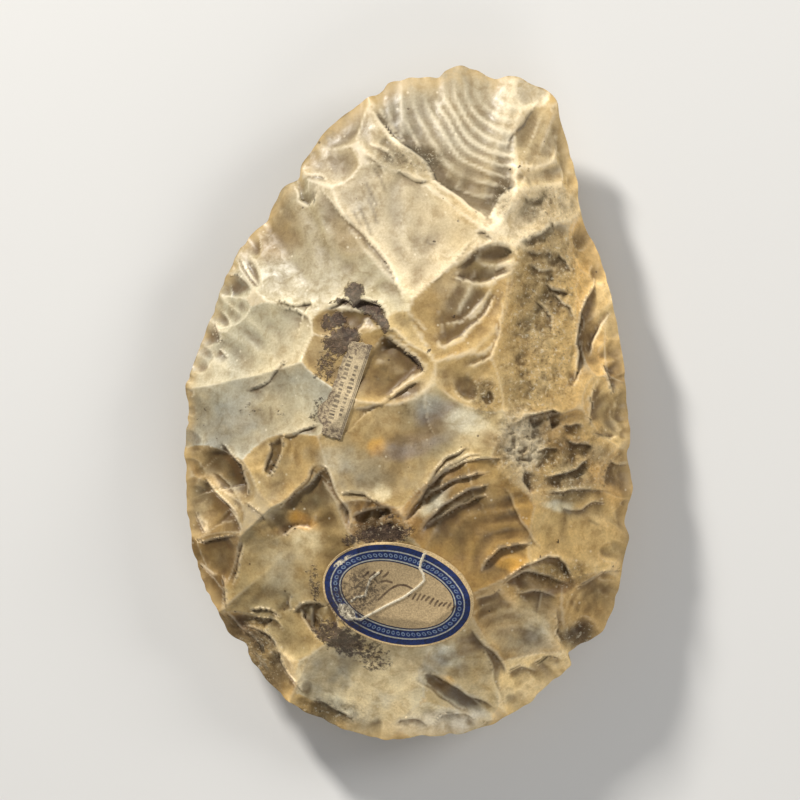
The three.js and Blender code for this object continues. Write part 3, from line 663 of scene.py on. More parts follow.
# the outline's bends fade out slowly towards the middle, and the small nicks at once
def rimAt(bearing, share):
    even = atBearing(smoothRim, bearing)
    bends = (atBearing(rim, bearing) - even) * share ** form["bendFade"]
    return even + bends - atBearing(bites, bearing) * share ** form["nickFade"]


def shareOut(x, y):
    bearing, distance = bearingOf(x, y), distanceOf(x, y)
    return distance / rimAt(bearing, np.minimum(distance / atBearing(nickedRim, bearing), 1))


# the narrowest that a taper gets, and how a chip's depth and steepness grow along the blow
scarForm = {
    "narrowest": 0.15,
    "gentle": 2,
    "steeper": 8,
    "steepens": (-0.3, 0.8),
    "shallow": (0.12, 0.88),
    "deepens": (-1, 0.6),
}


# a place counted along and across a scar, in its half length and half width
def onScar(s, x, y):
    turn = math.radians(s["turn"])
    dx, dy = x - s["x"], y - s["y"]
    u = (dx * math.cos(turn) + dy * math.sin(turn)) / s["long"]
    width = s["wide"] * np.maximum(1 + s["taper"] * u, scarForm["narrowest"])
    return u, (dy * math.cos(turn) - dx * math.sin(turn)) / width


def scarPlace(s, x, y):
    u, v = onScar(s, x, y)
    return (np.abs(u) ** s["square"] + np.abs(v) ** s["square"]) ** (1 / s["square"])


# a chip starts shallow, on the side that the blow came from, and ends in a steep step
def chipDepth(s, x, y):
    along = onScar(s, x, y)[0]
    steep = scarForm["gentle"] + scarForm["steeper"] * eased(along, *scarForm["steepens"])
    start, gain = scarForm["shallow"]
    grown = start + gain * eased(along, *scarForm["deepens"])
    return s["deep"] * np.maximum(1 - scarPlace(s, x, y) ** steep, 0) * grown


# the deepest scar, the next one and which scar it is
def deepest(scars, x, y):
    first, second = np.zeros_like(x), np.zeros_like(x)
    owner = np.full(x.shape, -1)
    for k, s in enumerate(scars):
        depth = s["deep"] * (1 - scarPlace(s, x, y) ** s["bowl"])
        second = np.maximum(second, np.minimum(first, depth))
        owner = np.where(depth > first, k, owner)
        first = np.maximum(first, depth)
    return first, second, owner


def edgeTables():
    x = form["middle"][0] + nickedRim * np.cos(rimBearings)
    y = form["middle"][1] + nickedRim * np.sin(rimBearings)
    sway = deepest(lowerScars, x, y)[0] - deepest(upperScars, x, y)[0]
    chips = deepest(lowerEdgeChips, x, y)[0] - deepest(upperEdgeChips, x, y)[0]
    return form["edgeSway"] * sway, retouch["sway"] * chips


edgeSway, edgeRagged = edgeTables()


def edgeHeight(x, y):
    bearing, share = bearingOf(x, y), shareOut(x, y)
    sway = atBearing(edgeSway, bearing) * share ** form["swayFade"]
    return sway + atBearing(edgeRagged, bearing) * share ** form["raggedFade"]


# lengths are in waves; the strength of the rings comes and goes in patches
ripples = {
    "wander": 2.6,
    "wanderSize": 4,
    "steadied": 1.9,
    "sharp": 1.7,
    "fineCount": 2.37,
    "fineShift": 0.3,
    "fineSharp": 1.5,
    "shares": (0.9, 0.1),  # of the crests and of the finer rings
    "patchSize": 2.6,
    "patchGain": 2.6,
    "patchCut": 0.65,
    "strength": (0.05, 1.3),
    "sink": 0.4,
    "setsIn": (0.15, 0.85),
    "fullHeight": 0.3,
}


# ripples run out from the blow's point as rings with sharp crests, strong in places and gone in others
def ripplesOf(s, x, y, seed):
    cx, cy, wave, height = s["ripple"][:4]
    radius = np.hypot(x - cx, y - cy)
    reach = np.ones_like(x)
    if len(s["ripple"]) > 4:
        base, gain = ripples["setsIn"]
        reach = base + gain * eased(radius, *s["ripple"][4:])
    wander = (ripples["wander"] - ripples["steadied"] * s["steady"]) * wave
    wander = wander * (hills(x, y, ripples["wanderSize"] * wave, seed, 2) - 0.5)
    phase = (radius + wander) / wave
    crest = (0.5 + 0.5 * np.cos(2 * np.pi * phase)) ** ripples["sharp"]
    finer = ripples["fineCount"] * phase + ripples["fineShift"]
    fine = (0.5 + 0.5 * np.cos(2 * np.pi * finer)) ** ripples["fineSharp"]
    patches = hills(x, y, ripples["patchSize"] * wave, seed + 50, 2)
    strength = np.clip(ripples["patchGain"] * patches - ripples["patchCut"], *ripples["strength"])
    strength = (strength * (1 - s["steady"]) + s["steady"]) * reach
    crest = ripples["shares"][0] * crest + ripples["shares"][1] * fine
    return height * strength * (crest - ripples["sink"]), 0.5 + (crest - 0.5) * np.minimum(strength, 1)


# how a step breaks off; lengths in millimetres
ragged = {
    "size": 3.0,
    "bend": 0.9,
    "reach": 1.35,  # times the row's own reach
    "fade": 0.26,  # share of the line at each end
    "cliff": 0.23,
    "settle": 1.2,
    "lip": 0.12,
    "lipReach": 1.6,
    # where the painted highlight lies along a step's lip, and the painted shade and dirt at its foot
    "lipAt": 0.25,
    "lipWidth": 0.3,
    "footAt": 0.25,
    "footWidth": 0.35,
    "footFall": 1.5,
    # how far the painted shade reaches on a step's low side, and the painted light on its high side
    "paintedShadeReach": 1.2,
    "paintedLightShare": 0.5,
    "paintedLightReach": 1.5,
    "weakest": 0.35,
    "fullDepth": 1.4,
    "hold": 0.5,  # points nearer than this are drawn onto the edge
    "slope": 0.9,
    "holdEnds": 3,
    "rounds": 3,
}


# places beside a line: how far off, on which side, at what share of its length, and the way from it
def besideLine(px, py, line):
    best, side, along = np.full(px.shape, farAway), np.zeros(px.shape), np.zeros(px.shape)
    awayX, awayY = np.zeros(px.shape), np.zeros(px.shape)
    lengths = np.hypot(*np.diff(line, axis=0).T)
    walked = np.concatenate([[0], np.cumsum(lengths)]) / lengths.sum()
    for k, (start, stop) in enumerate(zip(line, line[1:])):
        t, wayX, wayY = nearestOn(px, py, start, stop)
        distance = np.hypot(wayX, wayY)
        closer = distance < best - tiny
        turn = (stop[1] - start[1]) * (px - start[0]) - (stop[0] - start[0]) * (py - start[1])
        best = np.where(closer, distance, best)
        side = np.where(closer, np.sign(turn), side)
        along = np.where(closer, walked[k] + t * lengths[k] / lengths.sum(), along)
        awayX, awayY = np.where(closer, wayX, awayX), np.where(closer, wayY, awayY)
    return best, side, along, awayX, awayY


# at each step: the drop of the ground, painted highlight on its lip, painted shade and dirt at its foot,
# painted shade on its low side and painted light on its high side, and the move onto its edge
def stepsOf(x, y):
    wx, wy = wandered(x, y, ragged["bend"], ragged["size"], (1600, 1650))
    depth, lip, foot, paintedStepShading, moveX, moveY = (np.zeros_like(x) for _ in range(6))
    nearest = np.full(x.shape, ragged["hold"])
    for deep, reach, line in upperSteps:
        reach = reach * ragged["reach"]
        line = np.array(line, dtype=float)
        low, high = line.min(0) - 3 * reach, line.max(0) + 3 * reach
        near = (wx > low[0]) & (wx < high[0]) & (wy > low[1]) & (wy < high[1])
        best, side, along, awayX, awayY = besideLine(wx[near], wy[near], line)
        ends = eased(along, 0, ragged["fade"]) * eased(1 - along, 0, ragged["fade"])
        signed = best * side
        cut = np.clip(0.5 + 0.5 * signed / ragged["cliff"], 0, 1)
        cut = cut * np.exp(-((np.maximum(signed, 0) / reach) ** ragged["settle"]))
        edge = np.exp(-np.maximum(-signed, 0) / ragged["lipReach"]) * (signed < 0)
        depth[near] += ends * deep * (cut - ragged["lip"] * edge)
        # the lip gets a painted highlight, the foot painted shade with dirt
        strong = min(1, ragged["weakest"] + deep / ragged["fullDepth"])
        raised = np.exp(-(((signed + ragged["lipAt"]) / ragged["lipWidth"]) ** 2))
        lip[near] = np.maximum(lip[near], ends * strong * raised)
        spread = ragged["footWidth"] + ragged["footWidth"] * deep
        under = np.maximum(signed - ragged["footAt"], 0) / spread
        under = np.exp(-(under ** ragged["footFall"])) * (signed > 0)
        foot[near] = np.maximum(foot[near], ends * strong * under)
        # painted shade on the low ground beside the step, painted light on the high ground
        shaded = -np.exp(-signed / (ragged["paintedShadeReach"] * reach))
        lit = ragged["paintedLightShare"] * np.exp(signed / ragged["paintedLightReach"])
        paintedStepShading[near] += ends * strong * np.where(signed > 0, shaded, lit)
        held = (np.abs(signed) < nearest[near]) & (best > hairWidth)
        toward = side * (ragged["cliff"] * side - signed) / np.maximum(best, hairWidth)
        toward = ragged["slope"] * (toward * np.minimum(ragged["holdEnds"] * ends, 1))
        nearest[near] = np.where(held, np.abs(signed), nearest[near])
        moveX[near] = np.where(held, toward * awayX, moveX[near])
        moveY[near] = np.where(held, toward * awayY, moveY[near])
    return depth, lip, foot, np.clip(paintedStepShading, -1, 1), moveX, moveY


# places near a step are drawn onto its lip or its foot, so that the edge comes out crisp
def drawnToSteps(x, y):
    for _ in range(ragged["rounds"]):
        moveX, moveY = stepsOf(x, y)[4:]
        x, y = x + moveX, y + moveY
    return x, y


# the small unevenness of every face, and faint ridges across the hollows: spacing, pattern and height
ground = {
    "clear": 0.45,
    "chipGrain": (0.7, 0.6),
    "stepGrain": (0.75, 0.5),
    "roughGrain": 1.6,
    "roughSteps": 1.5,
    "roughStepSize": 2.2,
    "roughSoft": 0.55,
    "pebble": 0.06,
    "ridges": [(8, 75, 0.5), (4.2, 78, 0.1)],
    "mostRaised": 0.4,
}


# height over the edge's plane, with every mark of the surface
def surface(x, y, upper):
    scars = upperScars if upper else lowerScars
    wx, wy = wandered(x, y, form["warp"], form["warpSize"], (3, 7), 2)
    first, second, owner = deepest(scars, wx, wy)
    gap = first - second
    worn = np.maximum(form["wornRidge"] - gap, 0) / form["wornRidge"]
    depth = first + worn ** 2 * form["wornRidge"] / 4
    clear = eased(gap, 0.0, ground["clear"])

    crests = np.full(x.shape, 0.5)
    for k, s in enumerate(scars):
        own = owner == k
        if s["ripple"] and own.any():
            rise, crest = ripplesOf(s, wx[own], wy[own], 20 + k)
            depth[own] -= rise * clear[own]
            shown = min(1, s["ripple"][3] / ripples["fullHeight"])
            crests[own] = 0.5 + (crest - 0.5) * shown * clear[own]

    rough, lip, foot, paintedStepShading = (np.zeros_like(x) for _ in range(4))
    if upper:
        base, gain = ground["chipGrain"]
        for k, s in enumerate(upperChips):
            depth = depth + chipDepth(s, wx, wy) * (base + gain * hills(wx, wy, 2.2, 300 + k))
        fallen, lip, foot, paintedStepShading, _, _ = stepsOf(x, y)
        base, gain = ground["stepGrain"]
        depth = depth + fallen * (base + gain * hills(x, y, 4, 1700, 2))
        for k, (at, size, raised, coarse) in enumerate(upperRough):
            mask = inside(x, y, at, size, 0, ground["roughSoft"])
            grain = hills(x, y, coarse, 400 + 9 * k, 4) - 0.5
            stepped = np.abs(hills(x, y, ground["roughStepSize"] * coarse, 440 + 9 * k, 3) - 0.5)
            uneven = ground["roughGrain"] * grain - ground["roughSteps"] * stepped
            depth = depth - mask * raised * uneven
            rough = np.maximum(rough, mask)

    trim = deepest(upperEdgeChips if upper else lowerEdgeChips, x, y)[0]
    depth = depth + trim + ground["pebble"] * (hills(x, y, 3.0, 71, 3) - 0.5)
    for size, seed, height in ground["ridges"]:
        depth = depth + height * np.abs(hills(x, y, size, seed, 2) - 0.5)

    height = form["upperHeight"] if upper else form["lowerHeight"]
    flatness = form["upperFlatness"] if upper else form["lowerFlatness"]
    dome = height * np.maximum(1 - shareOut(x, y) ** flatness, 0)
    room = np.maximum((1 - form["core"]) * dome, hairWidth)
    off = form["core"] * dome + room * np.exp(-np.maximum(depth, -ground["mostRaised"]) / room)
    z = edgeHeight(x, y) + (off if upper else -off)
    if not upper:
        z = np.maximum(z, seatHeight)
    return z, {"owner": owner, "crest": crests, "rough": rough, "lip": lip, "foot": foot,
               "paintedStepShading": paintedStepShading, "gap": gap}


# from a square sheet, -1 to 1 each way, to a disc of radius 1
def discPlace(u, v):
    return u * np.sqrt(1 - v * v / 2), v * np.sqrt(1 - u * u / 2)


def gridPlace(u, v):
    dx, dy = discPlace(u, v)
    bearing = np.arctan2(dy, dx)
    share = np.minimum(np.hypot(dx, dy), 1)
    distance = share * rimAt(bearing, share)
    return form["middle"][0] + distance * np.cos(bearing), form["middle"][1] + distance * np.sin(bearing)


# the light that a screen gives for a tint
def linear(tint):
    c = np.array(tint) / 255
    return np.where(c <= 0.04045, c / 12.92, ((c + 0.055) / 1.055) ** 2.4)


# average over a square of cells, on a sheet of heights
def blurred(sheet, reach):
    out, size = sheet, 2 * reach + 1
    for axis in (0, 1):
        pad = [(0, 0), (0, 0)]
        pad[axis] = (reach + 1, reach)
        run = np.cumsum(np.pad(out, pad, mode="edge"), axis=axis)
        out = (run[size:] - run[:-size]) if axis == 0 else (run[:, size:] - run[:, :-size])
        out = out / size
    return out


def softened(sheet, reach):
    return blurred(blurred(sheet, reach), reach)


# the patina, and painted light and shade: how strong the colours are from the butt to the point and from
# side to side, painted to even out the key light's fall; and the patina's clouds
patinaAndPaintedLight = {
    "along": (-75, -64, -45, -10, 15, 40, 60, 75),
    "strength": (1.9, 1.5, 1.15, 1.05, 0.94, 0.71, 0.57, 0.56),
    "across": (-50, -20, 15, 35, 50),
    "sideHigh": (0.6, 0.74, 1.08, 1.7, 1.9),
    "sideLow": (1.02, 0.96, 1.04, 1.22, 1.45),
    "lowToHigh": (-25, 25),
    "most": 0.86,  # the brightest that a colour gets, with its hue kept
    "chalk": 0.6,  # how much weaker the relief shades the chalky point
    "chalkFrom": (25, 50),
    "buttFrom": (-20, 15),
    "warm": (0.22, 0.3),
    "warmTint": (1.02, 0.86, 0.62),
    "cold": (0.25, 0.55),
    "coldTint": (0.86, 0.93, 1.12),
    "cloud": (0.32, 0.5),
    "crack": 0.5,
    "trough": 0.3,
    "troughTint": (0.86, 0.72, 0.5),
}


def mixed(colour, other, share):
    share = share[..., None]
    return colour * (1 - share) + other * share


def facetColour(x, y, marks, upper):
    colour = np.zeros(x.shape + (3,)) + linear(tints["tan"])
    for k, s in enumerate(upperScars if upper else lowerScars):
        colour[marks["owner"] == k] = linear(tints[s["tint"]])
    if upper:
        wx, wy = wandered(x, y, 3.0, 4.5, (601, 651), 4)
        for k, (at, size, turn, tint, strength) in enumerate(upperStainsAndShadows):
            mask = inside(wx, wy, at, size, turn, 0.45) * strength
            mask = mask * (0.6 + 0.8 * hills(x, y, 2.4, 700 + k, 3))
            colour = mixed(colour, linear(tints[tint]), np.clip(mask, 0, 1))
        cracks = patinaAndPaintedLight["crack"] * (1 - eased(distanceToLines(x, y, upperCracks), 0.05, 0.6))
        colour = mixed(colour, 0.5 * linear(tints["umber"]), cracks)
    butt = eased(-y, *patinaAndPaintedLight["buttFrom"])
    for name, size, seed, band in (("warm", 13, 800, (0.35, 0.7)), ("cold", 8, 840, (0.48, 0.72))):
        share = (patinaAndPaintedLight[name][0] + patinaAndPaintedLight[name][1] * butt) * eased(hills(x, y, size, seed, 4), *band)
        colour = mixed(colour, colour * np.array(patinaAndPaintedLight[name + "Tint"]), share)
    cloud = hills(x, y, 5, 870, 5) - 0.5
    colour = colour * (1 + (patinaAndPaintedLight["cloud"][0] + patinaAndPaintedLight["cloud"][1] * butt) * cloud)[..., None]
    trough = 2 * np.clip(0.5 - marks["crest"], 0, 0.5)
    return mixed(colour, colour * np.array(patinaAndPaintedLight["troughTint"]), patinaAndPaintedLight["trough"] * trough)


def grimeOf(x, y):
    total = np.zeros_like(x)
    wx, wy = wandered(x, y, 2.4, 2.0, (901, 951), 4)
    for at, size, turn, strength in upperGrime:
        total = np.maximum(total, strength * inside(wx, wy, at, size, turn, 0.5))
    for px, py, radius in upperPits:
        total = np.maximum(total, 0.72 * inside(x, y, (px, py), (radius, 0.7 * radius), 40 * px, 0.4))
    return total


def deselectAll():
    bpy.ops.object.select_all(action="DESELECT")


def readPlaces(mesh):
    co = np.empty(len(mesh.vertices) * 3, dtype=np.float32)
    mesh.vertices.foreach_get("co", co)
    return co.reshape(-1, 3).astype(float)


# millimetres over the edge's plane, written as metres over the floor
def writePlaces(mesh, x, y, z):
    place = np.stack([x, y, z - seatHeight], 1) * mm
    mesh.vertices.foreach_set("co", place.astype(np.float32).ravel())
    mesh.update()


def writeValues(mesh, values):
    for name, numbers in values.items():
        mesh.attributes.new(name, "FLOAT", "POINT").data.foreach_set("value", numbers.astype(np.float32))


def writeTint(mesh, colour):
    rgba = np.concatenate([colour, np.ones((len(colour), 1))], 1)
    data = mesh.attributes.new("tint", "FLOAT_COLOR", "POINT").data
    data.foreach_set("color", rgba.astype(np.float32).ravel())


# the small relief stands out more than the big hollows alone would give
relief = {
    "near": 4,
    "nearGain": 0.75,
    "wide": 12,
    "wideGain": 0.45,
    "rise": 0.25,
    "calm": 0.12,
    "soft": 0.5,
    "clearance": 0.05,
}


def broughtOut(sheet):
    near, wide = sheet - softened(sheet, relief["near"]), sheet - softened(sheet, relief["wide"])
    change = relief["nearGain"] * near + relief["wideGain"] * wide
    return np.where(change > 0, relief["rise"] * change, change)


# nothing rises over the solid's own top
def keptLow(sheet):
    ceiling = metre * cadHigh[2] + seatHeight - relief["clearance"] - relief["soft"]
    over = np.maximum(sheet - ceiling, 0) / relief["soft"]
    return np.where(over > 0, ceiling + relief["soft"] * (1 - np.exp(-over)), sheet)


sheets = {}


# the stone's finished height under a place, read back from its sheet
def heightUnder(x, y):
    bearing, share = bearingOf(x, y), shareOut(x, y)
    dx, dy = share * np.cos(bearing), share * np.sin(bearing)
    near, reach = 2 + dx * dx - dy * dy, 2 * math.sqrt(2)
    u = 0.5 * (np.sqrt(near + reach * dx) - np.sqrt(np.maximum(near - reach * dx, 0)))
    near = 2 - dx * dx + dy * dy
    v = 0.5 * (np.sqrt(near + reach * dy) - np.sqrt(np.maximum(near - reach * dy, 0)))
    sheet = sheets["upper"]
    column = np.clip((u + 1) / 2 * form["cellsAcross"], 0, form["cellsAcross"] - 1.001)
    row = np.clip((v + 1) / 2 * form["cellsAlong"], 0, form["cellsAlong"] - 1.001)
    i, j = column.astype(int), row.astype(int)
    fx, fy = column - i, row - j
    lower = sheet[j, i] * (1 - fx) + sheet[j, i + 1] * fx
    upper = sheet[j + 1, i] * (1 - fx) + sheet[j + 1, i + 1] * fx
    return lower * (1 - fy) + upper * fy


# how the relief is painted into the colour: crests and lips get paler, partly wear and partly painted
# highlight; hollows and feet get darker, partly dirt and partly painted shade; standing relief and the
# steps' sides get painted light and shade
shading = {
    "rimShare": (0.0, 0.04),
    "marginShare": (0.0, 0.07),
    "crestReach": 1,
    "crestFrom": 0.02,
    "crestRange": 0.06,
    "crestInward": (0.2, 0.8),
    "roughLoss": 0.7,
    "crestGain": 0.5,
    "ridgeGap": 0.1,
    "ridgeBand": (0.3, 0.6),
    "ridgeGain": 0.6,
    "lip": (0.3, 0.9),
    "buttCrest": (0.55, 0.45),
    "buttFrom": (-15, 20),
    "hollowReach": 4,
    "hollowFrom": 0.02,
    "hollowRange": 0.2,
    "hollowGain": 0.8,
    "standReach": 12,
    "standGain": 0.6,
    "standRange": (0.66, 1.1),
    "sharpReach": 2,
    "sharpGain": 1.2,
    "sharpRange": (0.76, 1.08),
    "paintedStepShading": 0.3,
}


# the crest and hollow of each point, from its height over the mean of its surroundings: painted highlight
# with paler wear on crests, painted shade with dirt in hollows
def crestAndHollow(x, y, sheet, at, step, marks, firm):
    near = (sheet - blurred(sheet, shading["crestReach"]))[at]
    wide = (sheet - blurred(sheet, shading["hollowReach"] // step))[at]
    inner = eased(1 - shareOut(x, y), *shading["rimShare"])
    crest = np.clip((near - shading["crestFrom"]) / shading["crestRange"], 0, 1)
    base, gain = shading["crestInward"]
    crest = crest * (base + gain * inner) * (1 - shading["roughLoss"] * marks["rough"])
    ridge = np.exp(-((marks["gap"] / shading["ridgeGap"]) ** 2))
    ridge = ridge * eased(hills(x, y, 7, 1720, 2), *shading["ridgeBand"])
    crest = np.maximum(shading["crestGain"] * crest,
                       shading["ridgeGain"] * ridge * inner * (1 - marks["rough"]))
    base, gain = shading["lip"]
    crest = np.maximum(crest, marks["lip"] * (base + gain * hills(x, y, 2.6, 1710, 2)))
    base, gain = shading["buttCrest"]
    crest = crest * (base + gain * eased(y, *shading["buttFrom"]))
    hollow = np.clip((-wide - shading["hollowFrom"]) / shading["hollowRange"], 0, 1) * inner
    return crest, np.maximum(shading["hollowGain"] * hollow, marks["foot"]) * firm


def stoneColour(x, y, sheet, at, step, marks, firm, upper):
    # painted shade in hollows and painted light on what stands up, at a wide and a narrow size, painted
    # shade and light beside the steps, and painted light and shade across the stone against the key light's
    # fall
    stands = (sheet - blurred(sheet, shading["standReach"] // step))[at]
    sharp = (sheet - softened(sheet, shading["sharpReach"] // step))[at]
    high = eased(y, *patinaAndPaintedLight["lowToHigh"])
    side = high * np.interp(x, patinaAndPaintedLight["across"], patinaAndPaintedLight["sideHigh"])
    side = side + (1 - high) * np.interp(x, patinaAndPaintedLight["across"], patinaAndPaintedLight["sideLow"])
    shades = (np.clip(1 + shading["standGain"] * stands * firm, *shading["standRange"]),
              np.clip(1 + shading["sharpGain"] * sharp, *shading["sharpRange"]),
              1 + shading["paintedStepShading"] * marks["paintedStepShading"],
              side * np.interp(y, patinaAndPaintedLight["along"], patinaAndPaintedLight["strength"]))
    colour = facetColour(x, y, marks, upper)
    for shade in shades:
        colour = colour * shade[:, None]
    return colour / np.maximum(colour.max(axis=1) / patinaAndPaintedLight["most"], 1)[:, None]


# a flat grid whose rim is marked, with as many rim points on both faces
def addGrid(name, upper):
    part = 1 if upper else 2
    deselectAll()
    bpy.ops.mesh.primitive_grid_add(x_subdivisions=form["cellsAcross"] // part,
                                    y_subdivisions=form["cellsAlong"] // part, size=2)
    face = bpy.context.object
    face.name = name
    bpy.ops.object.mode_set(mode="EDIT")
    bpy.ops.mesh.select_all(action="DESELECT")
    bpy.ops.mesh.select_mode(type="EDGE")
    bpy.ops.mesh.select_non_manifold(extend=False, use_boundary=True, use_wire=False,
                                     use_multi_face=False, use_non_contiguous=False, use_verts=False)
    if not upper:
        bpy.ops.mesh.subdivide(number_cuts=1, ngon=True)  # so that both rims have the same points
    bpy.ops.mesh.mark_sharp()
    if not upper:
        bpy.ops.mesh.select_all(action="SELECT")
        bpy.ops.mesh.flip_normals()
    bpy.ops.object.mode_set(mode="OBJECT")
    return face


# one face of the stone, as a sheet pulled over the form
def addFace(name, upper):
    face = addGrid(name, upper)
    co = readPlaces(face.data)
    i = np.round((co[:, 0] + 1) / 2 * form["cellsAcross"])
    j = np.round((co[:, 1] + 1) / 2 * form["cellsAlong"])
    u, v = 2 * i / form["cellsAcross"] - 1, 2 * j / form["cellsAlong"] - 1
    x, y = gridPlace(u, v)
    onRim = (np.abs(u) > form["rimCell"]) | (np.abs(v) > form["rimCell"])
    if upper:
        drawnX, drawnY = drawnToSteps(x, y)
        inner = shareOut(x, y) < form["drawnShare"]
        x, y = np.where(inner, drawnX, x), np.where(inner, drawnY, y)
    z, marks = surface(x, y, upper)
    z = np.where(onRim, edgeHeight(x, y), z)

    step = 1 if upper else 2
    sheet = np.zeros((form["cellsAlong"] // step + 1, form["cellsAcross"] // step + 1))
    at = (j // step).astype(int), (i // step).astype(int)
    onGrid = (i % step == 0) & (j % step == 0)
    sheet[at[0][onGrid], at[1][onGrid]] = z[onGrid] * (1 if upper else -1)
    if upper:
        calm = np.zeros_like(sheet)
        calm[at] = eased(1 - shareOut(x, y), 0.01, relief["calm"])
        sheet += broughtOut(sheet) * calm
        sheet = keptLow(sheet)
        z = sheet[at]
        sheets["upper"] = sheet

    firm = 1 - patinaAndPaintedLight["chalk"] * eased(y, *patinaAndPaintedLight["chalkFrom"])
    crest, hollow = crestAndHollow(x, y, sheet, at, step, marks, firm)
    writeTint(face.data, stoneColour(x, y, sheet, at, step, marks, firm, upper))
    writeValues(face.data, {
        "crest": crest,
        "hollow": hollow,
        "rough": marks["rough"],
        "grime": grimeOf(x, y) if upper else np.zeros_like(x),
        "margin": 1 - eased(1 - shareOut(x, y), *shading["marginShare"]),
    })
    writePlaces(face.data, x, y, z)
    return face


def give(tree, socket, value):
    if isinstance(value, bpy.types.NodeSocket):
        tree.links.new(value, socket)
    else:
        socket.default_value = value


def node(tree, kind, inputs=None, **settings):
    made = tree.nodes.new("ShaderNode" + kind)
    for key, value in settings.items():
        setattr(made, key, value)
    for key, value in (inputs or {}).items():
        give(tree, made.inputs[key], value)
    return made


def attributesOf(tree, *names):
    return [node(tree, "Attribute", attribute_name=name).outputs["Fac"] for name in names]


def mathOf(tree, operation, a, b=0.0, clamp=False):
    return node(tree, "Math", {0: a, 1: b}, operation=operation, use_clamp=clamp).outputs[0]


def times(tree, a, b):
    return mathOf(tree, "MULTIPLY", a, b)


def plus(tree, a, b, clamp=False):
    return mathOf(tree, "ADD", a, b, clamp)


# a noise moved to lie round 0, and made stronger
def around0(tree, noise, gain):
    return times(tree, mathOf(tree, "SUBTRACT", noise, 0.5), gain)


def noiseOf(tree, place, scale, detail, roughness, distortion=0.0):
    inputs = {"Vector": place, "Scale": scale, "Detail": detail, "Roughness": roughness,
              "Distortion": distortion}
    return node(tree, "TexNoise", inputs).outputs["Fac"]


def rangeOf(tree, value, low, high, to=(0.0, 1.0)):
    inputs = {"Value": value, "From Min": low, "From Max": high, "To Min": to[0], "To Max": to[1]}
    return node(tree, "MapRange", inputs, interpolation_type="SMOOTHSTEP").outputs["Result"]


def mixOf(tree, factor, a, b, blend="MIX"):
    inputs = {0: factor, 6: a, 7: b}
    made = node(tree, "Mix", data_type="RGBA", blend_type=blend, clamp_factor=True)
    for key, value in inputs.items():
        give(tree, made.inputs[key], value)
    return made.outputs[2]


def rgbaOf(tint):
    return (*[float(c) for c in linear(tint)], 1.0)


def greyOf(level):
    return (level, level, level, 1)


def newMaterial(name):
    material = bpy.data.materials.new(name)
    material.use_nodes = True
    tree = material.node_tree
    return material, tree, tree.nodes["Principled BSDF"]


# what the flint looks like close to; a noise is its scale, detail, roughness and distortion
flint = {
    "mottle": (420.0, 6.0, 0.62, 0.4),
    "fine": (1900.0, 4.0, 0.6),
    "clouds": (130.0, 5.0, 0.6, 0.6),
    "speck": (1100.0, 3.0, 0.7),
    "lumps": (900.0, 5.0, 0.7, 1.2),
    "broken": (1000.0, 7.0, 0.72),
    "darkShare": 0.9,
    "darkTint": (0.72, 0.66, 0.56, 1),
    "plainTint": 1.04,
    "paleShare": 0.7,
    "paleTint": (0.045, 0.045, 0.04, 1),
    "grainShare": 0.8,
    "grainDark": (0.88, 0.86, 0.82, 1),
    "grainPale": 1.08,
    # the pale tint of the painted highlights on crests and lips, of the painted glints, and of the pale
    # flecks
    "crestTint": (248, 236, 206),
    "crestShare": 0.7,
    # the dark tint of the painted shade and dirt in hollows and at the feet of steps
    "hollowTint": (96, 68, 34),
    "hollowShare": 0.65,
    "marginTint": (214, 182, 124),
    "pitTint": (84, 58, 30),
    "pitShare": 0.5,
    "sparkleShare": 0.45,
    "dots": {"scale": 260.0, "radius": 0.075, "rare": 0.8, "share": 0.65, "tint": (70, 52, 32)},
    "flakes": {"scale": 520.0, "radius": (0.2, 0.08), "rare": (0.72, 0.9), "share": 0.3},
    "grimeTint": (48, 35, 30),
    "glueTint": (104, 84, 70),
    "glueShare": 0.88,
    "flecks": 1.7,
    "roughness": (0.36, 0.62),
    "roughDull": 0.22,
    "glueDull": 0.2,
    "ior": 1.5,
    "specular": 0.35,
    "grainBump": 0.00005,
    "roughBump": 0.0014,
    "glueBump": 0.0003,
}


# spots in the cells of a random pattern: how near their middle, and a random number for each
def spotsOf(tree, place, scale, channel):
    cells = node(tree, "TexVoronoi", {"Vector": place, "Scale": scale, "Randomness": 1.0})
    chance = node(tree, "SeparateColor", {0: cells.outputs["Color"]}).outputs[channel]
    return cells.outputs["Distance"], chance


def bumpOf(tree, height, distance, under=None, strength=1.0):
    inputs = {"Strength": strength, "Distance": distance, "Height": height}
    if under is not None:
        inputs["Normal"] = under
    return node(tree, "Bump", inputs).outputs[0]


